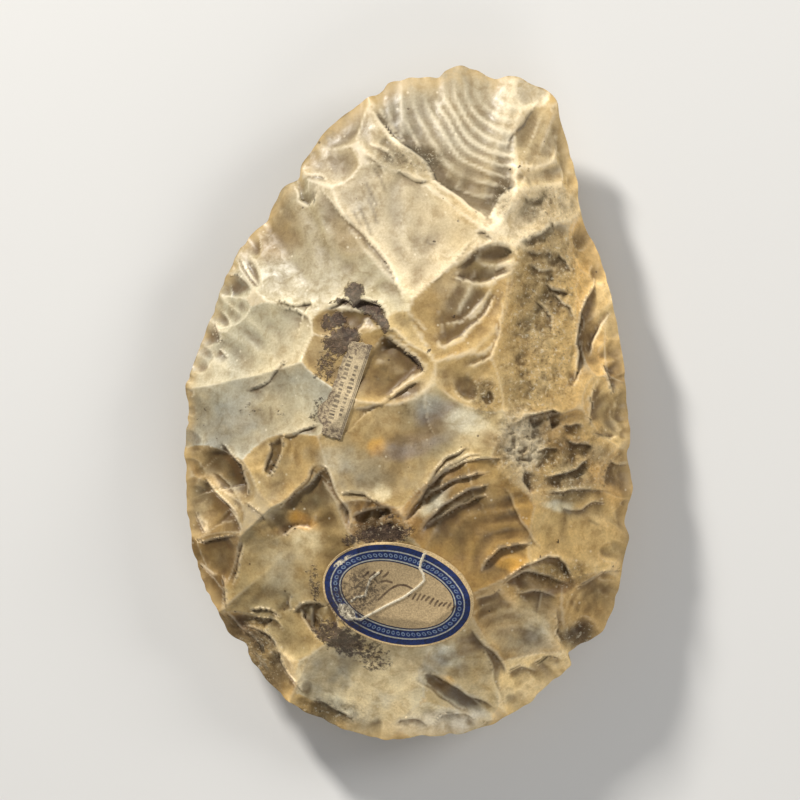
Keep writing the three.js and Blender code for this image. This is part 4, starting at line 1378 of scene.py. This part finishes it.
def flintMaterial():
    material, tree, shader = newMaterial("flint")
    place = node(tree, "TexCoord").outputs["Object"]
    colour = node(tree, "Attribute", attribute_name="tint").outputs["Color"]
    crest, hollow, rough, grime, margin = attributesOf(tree, "crest", "hollow", "rough", "grime", "margin")
    mottle, fine, clouds, speck, lumps = (noiseOf(tree, place, *flint[name]) for name in
                                          ("mottle", "fine", "clouds", "speck", "lumps"))

    dark = mixOf(tree, rangeOf(tree, mottle, 0.42, 0.7), greyOf(flint["plainTint"]), flint["darkTint"])
    colour = mixOf(tree, flint["darkShare"], colour, dark, "MULTIPLY")
    pale = mixOf(tree, rangeOf(tree, clouds, 0.5, 0.75), greyOf(0), flint["paleTint"])
    colour = mixOf(tree, flint["paleShare"], colour, pale, "ADD")
    grain = mixOf(tree, rangeOf(tree, fine, 0.35, 0.65), flint["grainDark"], greyOf(flint["grainPale"]))
    colour = mixOf(tree, flint["grainShare"], colour, grain, "MULTIPLY")

    # painted shade and dirt darken the hollows and the feet of steps
    dirt = times(tree, hollow, rangeOf(tree, mottle, 0.25, 0.6, (0.35, 1.0)))
    dirt = times(tree, dirt, flint["hollowShare"])
    colour = mixOf(tree, dirt, colour, rgbaOf(flint["hollowTint"]))
    edge = times(tree, margin, rangeOf(tree, clouds, 0.35, 0.6, (0.1, 0.5)))
    colour = mixOf(tree, edge, colour, rgbaOf(flint["marginTint"]))
    # painted highlight, with paler wear, on crests, ridges and step lips
    bright = times(tree, crest, rangeOf(tree, mottle, 0.3, 0.6, (0.5, 1.0)))
    bright = times(tree, bright, flint["crestShare"])
    colour = mixOf(tree, bright, colour, rgbaOf(flint["crestTint"]))

    # pits and painted glints in the broken ground, and a few dots everywhere
    pitted = times(tree, rough, rangeOf(tree, speck, 0.56, 0.68))
    colour = mixOf(tree, times(tree, pitted, flint["pitShare"]), colour, rgbaOf(flint["pitTint"]))
    sparkle = times(tree, rough, rangeOf(tree, speck, 0.44, 0.34))
    colour = mixOf(tree, times(tree, sparkle, flint["sparkleShare"]), colour, rgbaOf(flint["crestTint"]))
    dots, flakes = flint["dots"], flint["flakes"]
    away, chance = spotsOf(tree, place, dots["scale"], 0)
    spots = times(tree, mathOf(tree, "LESS_THAN", away, dots["radius"]),
                  mathOf(tree, "GREATER_THAN", chance, dots["rare"]))
    colour = mixOf(tree, times(tree, spots, dots["share"]), colour, rgbaOf(dots["tint"]))
    away, chance = spotsOf(tree, place, flakes["scale"], 1)
    spots = times(tree, rangeOf(tree, away, *flakes["radius"]), rangeOf(tree, chance, *flakes["rare"]))
    colour = mixOf(tree, times(tree, spots, flakes["share"]), colour, rgbaOf(flint["crestTint"]))

    # the old glue breaks up into specks towards its edge
    glue = rangeOf(tree, plus(tree, grime, around0(tree, speck, flint["flecks"])), 0.38, 0.8)
    glue = times(tree, glue, rangeOf(tree, grime, 0.02, 0.2))
    glueTint = mixOf(tree, rangeOf(tree, lumps, 0.45, 0.68), rgbaOf(flint["grimeTint"]),
                     rgbaOf(flint["glueTint"]))
    colour = mixOf(tree, times(tree, glue, flint["glueShare"]), colour, glueTint)

    gloss = rangeOf(tree, mottle, 0.3, 0.7, flint["roughness"])
    gloss = plus(tree, gloss, times(tree, rough, flint["roughDull"]))
    gloss = plus(tree, gloss, times(tree, glue, flint["glueDull"]), clamp=True)
    normal = bumpOf(tree, mottle, flint["grainBump"])
    broken = times(tree, rough, noiseOf(tree, place, *flint["broken"]))
    normal = bumpOf(tree, broken, flint["roughBump"], normal)
    normal = bumpOf(tree, times(tree, glue, plus(tree, lumps, 0.3)), flint["glueBump"], normal)
    for name, value in (("Base Color", colour), ("Roughness", gloss), ("Normal", normal),
                        ("IOR", flint["ior"]), ("Specular IOR Level", flint["specular"])):
        give(tree, shader.inputs[name], value)
    return material


def makeStone():
    top = addFace("flint_axe", True)
    bottom = addFace("flint_under", False)
    deselectAll()
    bottom.select_set(True)
    top.select_set(True)
    bpy.context.view_layer.objects.active = top
    bpy.ops.object.join()
    bpy.ops.object.mode_set(mode="EDIT")
    bpy.ops.mesh.select_all(action="SELECT")
    bpy.ops.mesh.remove_doubles(threshold=0.000002)
    # the shorter diagonal runs along an edge, not over it, so the edges come out clean
    bpy.ops.mesh.quads_convert_to_tris(quad_method="SHORTEST_DIAGONAL", ngon_method="BEAUTY")
    bpy.ops.object.mode_set(mode="OBJECT")
    bpy.ops.object.shade_smooth()
    stone = bpy.context.object
    stone.data.materials.clear()
    stone.data.materials.append(flintMaterial())
    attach(stone, "root")
    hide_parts("hand_axe")
    return stone


stone = makeStone()
print("stone made", len(stone.data.polygons), "faces")


# the oval label, in millimetres, with its printed border counted inwards from the paper's edge
ovalLabel = {
    "at": (-2.3, -42.1),
    "long": 34.0,
    "wide": 22.8,
    "turn": -13,
    "cells": (200, 134),
    "frayed": 0.012,
    "margin": 0.55,
    "ring": 1.25,
    "line": 0.28,
    "band": 1.75,
    "pearl": 0.36,
    "pearlStep": 1.22,
    "pearlLine": 2.9,  # the row of small rings runs this far in from the edge
    "printShift": 0.55,  # the print is not quite in the middle of the paper
    "printBearing": 48,
    "printOut": 0.12,
    "gap": 0.16,
    "paper": 0.12,
    "span": 5,
    "creaseHeight": 0.26,
    "creaseWidth": 0.35,
    "bump": 0.00007,
}

stripLabel = {
    "at": (-14.0, 3.0),
    "long": 21.6,
    "wide": 5.4,
    "turn": 71.5,
    "cells": (190, 56),
    "gap": 0.16,
    "paper": 0.12,
    "span": 7,
    "bump": 0.00006,
}

# the creases of the oval label, as lines on the stone
creases = [
    [(-12.8, -47.3), (-10.5, -47.6), (-8, -46.2), (-4.5, -44.3), (-1, -42.6), (2.2, -40.2), (3.4, -38.9)],
    [(3.4, -38.9), (3.2, -37.6), (2.4, -36.2), (2.7, -34.8), (3.3, -33.2)],
    [(-12.8, -47.3), (-14.2, -45.8), (-14.8, -44.6)],
    [(-9.6, -42.4), (-9.0, -40.2), (-8.4, -38.6), (-6.6, -37.2)],
    [(-12.6, -43.6), (-11.4, -42.6), (-9.6, -42.4)],
]

# where the oval label is torn and where it is dirty: strength, middle, half sizes and turn
tornPlaces = [
    (0.75, (-13.6, -46), (2.4, 1.5), -40, 0.5),
    (0.5, (-14.4, -34.6), (3.2, 0.7), 35, 0.5),
    (0.45, (3.4, -33.6), (0.5, 1.5), -10, 0.5),
]
dirtyPlaces = [
    (0.72, (-10.5, -41), (6, 5.5), 0, 0.6),
    (0.8, (-13, -44), (5, 7), -30, 0.6),
    (0.65, (-13, -47), (5, 3), -30, 0.6),
    (0.4, (2.4, -37.2), (1.6, 1.6), 0, 0.6),
    (0.45, (-6, -46.8), (4, 1.4), 15, 0.6),
]


# strokes of a pen that make no letters: a long open sweep, and rows of slanted ticks
def penStrokes():
    strokes = [[(-6.6 + 7.4 * s, -43.2 + 3.6 * math.sin(2.2 * s) - 0.5 * s)
                for s in (k / 29 for k in range(30))]]
    for k in range(11):
        s = k / 10
        x, y = 0.2 + 9.6 * s, -42.0 - 3.0 * s + 0.25 * math.sin(5 * k)
        tall = 0.75 + 0.5 * math.sin(2.3 * k) ** 2 - 0.35 * s
        strokes.append([(x - 0.25, y - 0.5 * tall), (x + 0.05, y + 0.1 * tall), (x + 0.45, y + 0.6 * tall)])
    for k in range(4):
        x, y = -9.4 + 1.45 * k, -37.6 + 0.2 * math.sin(4 * k)
        strokes.append([(x - 0.5, y - 0.4), (x, y - 0.1), (x + 0.55, y + 0.55)])
    strokes.append([(-6.0, -39.2), (-4.9, -39.0), (-3.7, -39.4)])
    return strokes


# a sheet of cells, still square, with its own row and column numbers
def addSheet(name, cells):
    deselectAll()
    bpy.ops.mesh.primitive_grid_add(x_subdivisions=cells[0], y_subdivisions=cells[1], size=2)
    sheet = bpy.context.object
    sheet.name = name
    co = readPlaces(sheet.data)
    columns = np.round((co[:, 0] + 1) / 2 * cells[0]).astype(int)
    rows = np.round((co[:, 1] + 1) / 2 * cells[1]).astype(int)
    return sheet, (rows, columns), 2 * columns / cells[0] - 1, 2 * rows / cells[1] - 1


# paper spans the small hollows and rests on what stands up
def laidOver(x, y, at, reach, sag=0.05):
    z = heightUnder(x, y)
    grid = np.zeros((at[0].max() + 1, at[1].max() + 1))
    grid[at] = z
    spanned = softened(grid, reach)
    for _ in range(3):
        spanned = np.maximum(blurred(np.maximum(spanned, grid), 1), grid - sag)
    return np.maximum(spanned[at], z)


def turned(u, v, settings):
    c, s = math.cos(math.radians(settings["turn"])), math.sin(math.radians(settings["turn"]))
    return settings["at"][0] + u * c - v * s, settings["at"][1] + u * s + v * c


def finishSheet(sheet, x, y, z, settings, material, replaced):
    writePlaces(sheet.data, x, y, z + settings["gap"] + settings["paper"])
    deselectAll()
    sheet.select_set(True)
    bpy.context.view_layer.objects.active = sheet
    bpy.ops.object.shade_smooth()
    thick = sheet.modifiers.new("paper", "SOLIDIFY")
    thick.thickness = settings["paper"] * mm
    thick.offset = -1
    thick.use_rim = True
    bpy.ops.object.modifier_apply(modifier="paper")
    sheet.data.materials.append(material)
    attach(sheet, "root")
    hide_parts(replaced)


paperLook = {
    "fibre": (2600.0, 5.0, 0.7),
    "blotch": (420.0, 5.0, 0.65),
    "specks": (1400.0, 4.0, 0.75),
    "fibreDark": (0.62, 0.6, 0.56, 1),
    "fibrePale": 1.12,
    "blotches": 1.4,
    "dirtShare": 0.85,
    "roughness": (0.72, 0.95),
    "blotchHeight": 0.6,
    "bumpStrength": 0.8,
}


# old paper: fibres, foxing and dirt, as a colour, a roughness and a height
def paperGroup():
    group = bpy.data.node_groups.new("oldPaper", "ShaderNodeTree")
    sockets = (("Print", "Color", "INPUT"), ("Dirt", "Float", "INPUT"), ("Tint", "Color", "INPUT"),
               ("Color", "Color", "OUTPUT"), ("Roughness", "Float", "OUTPUT"),
               ("Height", "Float", "OUTPUT"))
    for name, kind, way in sockets:
        group.interface.new_socket(name, in_out=way, socket_type="NodeSocket" + kind)
    given, made = group.nodes.new("NodeGroupInput"), group.nodes.new("NodeGroupOutput")
    place = node(group, "TexCoord").outputs["Object"]
    fibre, blotch, specks = (noiseOf(group, place, *paperLook[name]) for name in
                             ("fibre", "blotch", "specks"))
    colour = mixOf(group, rangeOf(group, fibre, 0.3, 0.7), paperLook["fibreDark"],
                   greyOf(paperLook["fibrePale"]))
    colour = mixOf(group, 1.0, given.outputs["Print"], colour, "MULTIPLY")
    dirty = plus(group, given.outputs["Dirt"], around0(group, blotch, paperLook["blotches"]))
    dirty = rangeOf(group, dirty, 0.3, 0.75)
    dirty = times(group, dirty, rangeOf(group, specks, 0.42, 0.58, (0.3, 1.0)))
    dirty = times(group, dirty, paperLook["dirtShare"])
    colour = mixOf(group, dirty, colour, given.outputs["Tint"])
    height = plus(group, fibre, times(group, blotch, paperLook["blotchHeight"]))
    give(group, made.inputs["Color"], colour)
    give(group, made.inputs["Roughness"], rangeOf(group, fibre, 0.2, 0.8, paperLook["roughness"]))
    give(group, made.inputs["Height"], height)
    return group


oldPaper = paperGroup()


# the printed colour on old paper, as the look of a whole label
def onPaper(tree, shader, colour, dirt, tint, bump):
    paper = node(tree, "Group", node_tree=oldPaper)
    for name, value in (("Print", colour), ("Dirt", dirt), ("Tint", rgbaOf(tint))):
        give(tree, paper.inputs[name], value)
    give(tree, shader.inputs["Base Color"], paper.outputs["Color"])
    give(tree, shader.inputs["Roughness"], paper.outputs["Roughness"])
    give(tree, shader.inputs["Normal"],
         bumpOf(tree, paper.outputs["Height"], bump, strength=paperLook["bumpStrength"]))


# between two distances from the edge, with a soft border
def bandOf(tree, value, low, high, soft=0.05):
    up = rangeOf(tree, value, low - soft, low + soft)
    return times(tree, up, rangeOf(tree, value, high - soft, high + soft, (1.0, 0.0)))


labelPrint = {
    "paper": (186, 162, 122),
    "margin": (212, 184, 136),
    "blue": (23, 45, 102),
    "deepBlue": (15, 27, 62),
    "line": (176, 178, 170),
    "pearl": (132, 152, 178),
    "ink": (62, 38, 24),
    "dirt": (52, 40, 32),
    "torn": (232, 220, 192),
    "rub": (1500.0, 5.0, 0.7),
    "rubbed": 1.3,
    "wornShare": 0.5,
    "pearlShare": 0.85,
    "pearlRing": (-0.14, 0.08),
    "pearlSoft": 0.07,
}


# a row of small rings in the blue band
def pearlRow(tree, ring, around, middle):
    step, radius = ovalLabel["pearlStep"], ovalLabel["pearl"]
    along = mathOf(tree, "FRACT", mathOf(tree, "DIVIDE", around, step))
    along = around0(tree, along, step)
    across = mathOf(tree, "SUBTRACT", ring, middle)
    reach = mathOf(tree, "SQRT", plus(tree, times(tree, along, along), times(tree, across, across)))
    inner, outer = labelPrint["pearlRing"]
    return bandOf(tree, reach, radius + inner, radius + outer, labelPrint["pearlSoft"])


def ovalMaterial():
    material, tree, shader = newMaterial("oval label")
    ring, around, ink, torn, dirt = attributesOf(tree, "ring", "around", "ink", "torn", "dirt")
    place = node(tree, "TexCoord").outputs["Object"]
    rub = noiseOf(tree, place, *labelPrint["rub"])
    tint = {name: rgbaOf(labelPrint[name]) for name in
            ("paper", "margin", "blue", "deepBlue", "line", "pearl", "ink", "torn")}

    line = ovalLabel["line"]
    blue = mixOf(tree, rangeOf(tree, rub, 0.4, 0.65), tint["blue"], tint["deepBlue"])
    bands = [(ovalLabel["margin"], tint["margin"]), (ovalLabel["ring"], blue), (line, tint["line"]),
             (ovalLabel["band"], blue), (line, tint["line"]), (line, tint["deepBlue"])]
    colour, edges = tint["paper"], [0]
    for k, (width, shown) in enumerate(bands):
        edges.append(edges[-1] + width)
        colour = mixOf(tree, bandOf(tree, ring, edges[-2] if k else -1.0, edges[-1]), colour, shown)
    bead = pearlRow(tree, ring, around, (edges[3] + edges[4]) / 2)
    bead = times(tree, bead, rangeOf(tree, rub, 0.32, 0.5))
    colour = mixOf(tree, times(tree, bead, labelPrint["pearlShare"]), colour, tint["pearl"])

    # the print is rubbed through in places
    bare = rangeOf(tree, plus(tree, torn, around0(tree, rub, labelPrint["rubbed"])), 0.35, 0.6)
    bare = times(tree, bare, rangeOf(tree, torn, 0.02, 0.15))
    wornOff = times(tree, rangeOf(tree, rub, 0.68, 0.75), labelPrint["wornShare"])
    colour = mixOf(tree, wornOff, colour, tint["line"])
    colour = mixOf(tree, ink, colour, tint["ink"])
    colour = mixOf(tree, bare, colour, tint["torn"])
    onPaper(tree, shader, colour, dirt, labelPrint["dirt"], ovalLabel["bump"])
    return material


# the strongest of some places' marks
def strongest(x, y, places, start=0):
    total = start
    for strength, at, size, turn, soft in places:
        total = np.maximum(total, strength * inside(x, y, at, size, turn, soft))
    return total


# how far each bearing lies round the row of small rings, in a whole number of steps
def walkedRound(bearing):
    steps = np.linspace(-math.pi, math.pi, 721)
    rx = ovalLabel["long"] / 2 - ovalLabel["pearlLine"]
    ry = ovalLabel["wide"] / 2 - ovalLabel["pearlLine"]
    lengths = np.hypot(np.diff(rx * np.cos(steps)), np.diff(ry * np.sin(steps)))
    walked = np.concatenate([[0], np.cumsum(lengths)])
    walked *= round(walked[-1] / ovalLabel["pearlStep"]) * ovalLabel["pearlStep"] / walked[-1]
    return np.interp(bearing, steps, walked)


def makeOvalLabel():
    sheet, at, u, v = addSheet("oval_paper", ovalLabel["cells"])
    dx, dy = discPlace(u, v)
    share, bearing = np.hypot(dx, dy), np.arctan2(dy, dx)
    frayed = 1 - ovalLabel["frayed"] * hills(10 * bearing, 0 * bearing, 1.3, 1200, 3)
    x, y = turned(ovalLabel["long"] / 2 * dx * frayed, ovalLabel["wide"] / 2 * dy * frayed, ovalLabel)
    facing = np.hypot(ovalLabel["wide"] * np.cos(bearing), ovalLabel["long"] * np.sin(bearing))
    facing = ovalLabel["wide"] * ovalLabel["long"] / 2 / np.maximum(facing, hairWidth)
    shifted = np.clip(np.cos(bearing - math.radians(ovalLabel["printBearing"])), 0, 1) ** 2
    ring = (1 - share) * facing - ovalLabel["printShift"] * shifted + ovalLabel["printOut"]

    crease = distanceToLines(x, y, creases)
    z = laidOver(x, y, at, ovalLabel["span"])
    z = z + ovalLabel["creaseHeight"] * np.exp(-((crease / ovalLabel["creaseWidth"]) ** 2))
    z = z + 0.12 * (hills(x, y, 1.6, 1300, 3) - 0.5) * inside(x, y, (-10, -41), (7, 7), 0, 0.6)
    z = z + 0.05 * (hills(x, y, 2.5, 1310, 3) - 0.5)

    pen = distanceToLines(x, y, penStrokes())
    pressed = 0.10 + 0.13 * hills(x, y, 1.1, 1400, 2)
    ink = (1 - eased(pen, pressed, pressed + 0.14)) * (0.55 + 0.45 * hills(x, y, 0.8, 1410, 2))
    torn = strongest(x, y, tornPlaces, 1.1 * (1 - eased(crease, 0.08, 0.42)))
    writeValues(sheet.data, {"ring": ring, "around": walkedRound(bearing), "ink": ink, "torn": torn,
                             "dirt": strongest(x, y, dirtyPlaces)})
    finishSheet(sheet, x, y, z, ovalLabel, ovalMaterial(), "oval_label")


# the strip's print: rows of dashes as place across, height, start and stop, and two ruled lines
stripPrint = {
    "paper": (190, 172, 138),
    "ink": (48, 38, 34),
    "dirt": (70, 54, 44),
    "seed": 5,
    "rows": ((-0.85, 0.62, -6.4, 5.4), (0.95, 0.72, -8.2, 7.0)),
    "dash": (0.22, 0.7),
    "lift": (-0.12, 0.12),
    "tall": (0.5, 0.95),
    "strength": (0.65, 0.95),
    "space": (0.25, 0.55),
    "lines": ((-2.1, 0.09), (-2.42, 0.16)),
    "lineStrength": 0.75,
}


def stripMaterial():
    material, tree, shader = newMaterial("strip label")
    ink, dirt = attributesOf(tree, "ink", "dirt")
    colour = mixOf(tree, ink, rgbaOf(stripPrint["paper"]), rgbaOf(stripPrint["ink"]))
    onPaper(tree, shader, colour, dirt, stripPrint["dirt"], stripLabel["bump"])
    return material


# two rows of small printed dashes, which make no words
def printedRows(along, across):
    random = np.random.default_rng(stripPrint["seed"])
    ink = np.zeros_like(along)
    for row, high, start, stop in stripPrint["rows"]:
        s = stop
        while s > start:
            long = random.uniform(*stripPrint["dash"])
            lift = random.uniform(*stripPrint["lift"])
            tall = high * random.uniform(*stripPrint["tall"])
            bar = (np.abs(along - s) < long / 2) & (np.abs(across - row - lift) < tall)
            ink = np.where(bar, random.uniform(*stripPrint["strength"]), ink)
            s -= long + random.uniform(*stripPrint["space"])
    for line, thick in stripPrint["lines"]:
        ink = np.where(np.abs(across - line) < thick, stripPrint["lineStrength"], ink)
    return ink


def makeStripLabel():
    sheet, at, u, v = addSheet("strip_paper", stripLabel["cells"])
    along = stripLabel["long"] / 2 * u
    torn = 0.8 * (hills(along, 0 * along, 1.5, 1500, 3) - 0.5)
    swell = 1.5 * np.exp(-(((along + 6.2) / 2.2) ** 2)) - 0.9 * eased(-along, 8.2, 9.2)
    left = stripLabel["wide"] / 2 + torn + swell - 0.5 * eased(along, 4, 9)
    across = np.where(v > 0, v * left, v * stripLabel["wide"] / 2)
    ends = 0.9 * (hills(3 * v, 0 * v, 1.0, 1510, 3) - 0.5) * np.abs(u) ** 6
    along = along + ends * np.sign(u) - 0.35 * v * np.clip(u, 0, 1) ** 6
    x, y = turned(along, across, stripLabel)
    z = laidOver(x, y, at, stripLabel["span"]) + 0.05 * (hills(x, y, 1.6, 1520, 3) - 0.5)
    ink = printedRows(along, across) * (0.6 + 0.4 * hills(x, y, 0.7, 1530, 2))
    dirt = 0.25 + 0.5 * eased(across, 0.6, 2.6) + 0.5 * eased(-along, 7, 9.5) + 0.35 * eased(along, 6, 9)
    writeValues(sheet.data, {"ink": ink, "dirt": dirt})
    finishSheet(sheet, x, y, z, stripLabel, stripMaterial(), "strip_label")


makeOvalLabel()
makeStripLabel()
print("labels made")


# the camera looks straight down on the lying axe, as the photograph does
camera = {"at": (-1.9, 0.67), "field": 178.0, "distance": 1200.0, "sensor": 36, "farthest": 10}


def addObject(name, data):
    made = bpy.data.objects.new(name, data)
    bpy.context.collection.objects.link(made)
    return made


def addCamera():
    data = bpy.data.cameras.new("camera")
    made = addObject("camera", data)
    made.location = (camera["at"][0] * mm, camera["at"][1] * mm, (camera["distance"] - seatHeight) * mm)
    data.sensor_width = camera["sensor"]
    data.lens = camera["sensor"] * camera["distance"] / camera["field"]
    data.clip_end = camera["farthest"]
    bpy.context.scene.camera = made


addCamera()

# soft studio lights, in metres and watts
studio = {
    "key": {"at": (-0.60, 0.90, 0.56), "size": 0.14, "power": 21.5, "tint": (1.0, 0.97, 0.92)},
    "side": {"at": (0.85, 0.35, 0.6), "size": 0.4, "power": 4.5, "tint": (1.0, 0.98, 0.95)},
    "fill": {"at": (0.35, -0.85, 0.5), "size": 0.5, "power": 3.0, "tint": (1.0, 0.98, 0.96)},
    "top": {"at": (0.05, -0.1, 1.1), "size": 0.8, "power": 1.0, "tint": (1.0, 1.0, 1.0)},
}
surroundings = {
    "worldTint": (0.9, 0.92, 0.95, 1),
    "worldStrength": 0.2,
    "floorSize": 3,
    "floorTint": (0.64, 0.635, 0.62, 1),
    "floorRoughness": 0.8,
}


def addLight(name, at, size, power, tint):
    data = bpy.data.lights.new(name, "AREA")
    data.energy, data.size, data.color = power, size, tint
    made = addObject(name, data)
    made.location = at
    made.rotation_euler = (-made.location.normalized()).to_track_quat("-Z", "Y").to_euler()


def addStudio():
    for name, light in studio.items():
        addLight(name, **light)
    world = bpy.data.worlds.new("studio")
    world.use_nodes = True
    background = world.node_tree.nodes["Background"]
    background.inputs["Color"].default_value = surroundings["worldTint"]
    background.inputs["Strength"].default_value = surroundings["worldStrength"]
    bpy.context.scene.world = world
    bpy.context.scene.view_settings.view_transform = "Standard"
    deselectAll()
    bpy.ops.mesh.primitive_plane_add(size=surroundings["floorSize"])
    floor = bpy.context.object
    floor.name = "floor"
    material, _, shader = newMaterial("floor")
    shader.inputs["Base Color"].default_value = surroundings["floorTint"]
    shader.inputs["Roughness"].default_value = surroundings["floorRoughness"]
    floor.data.materials.append(material)
    floor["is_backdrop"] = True


addStudio()
print("studio set")
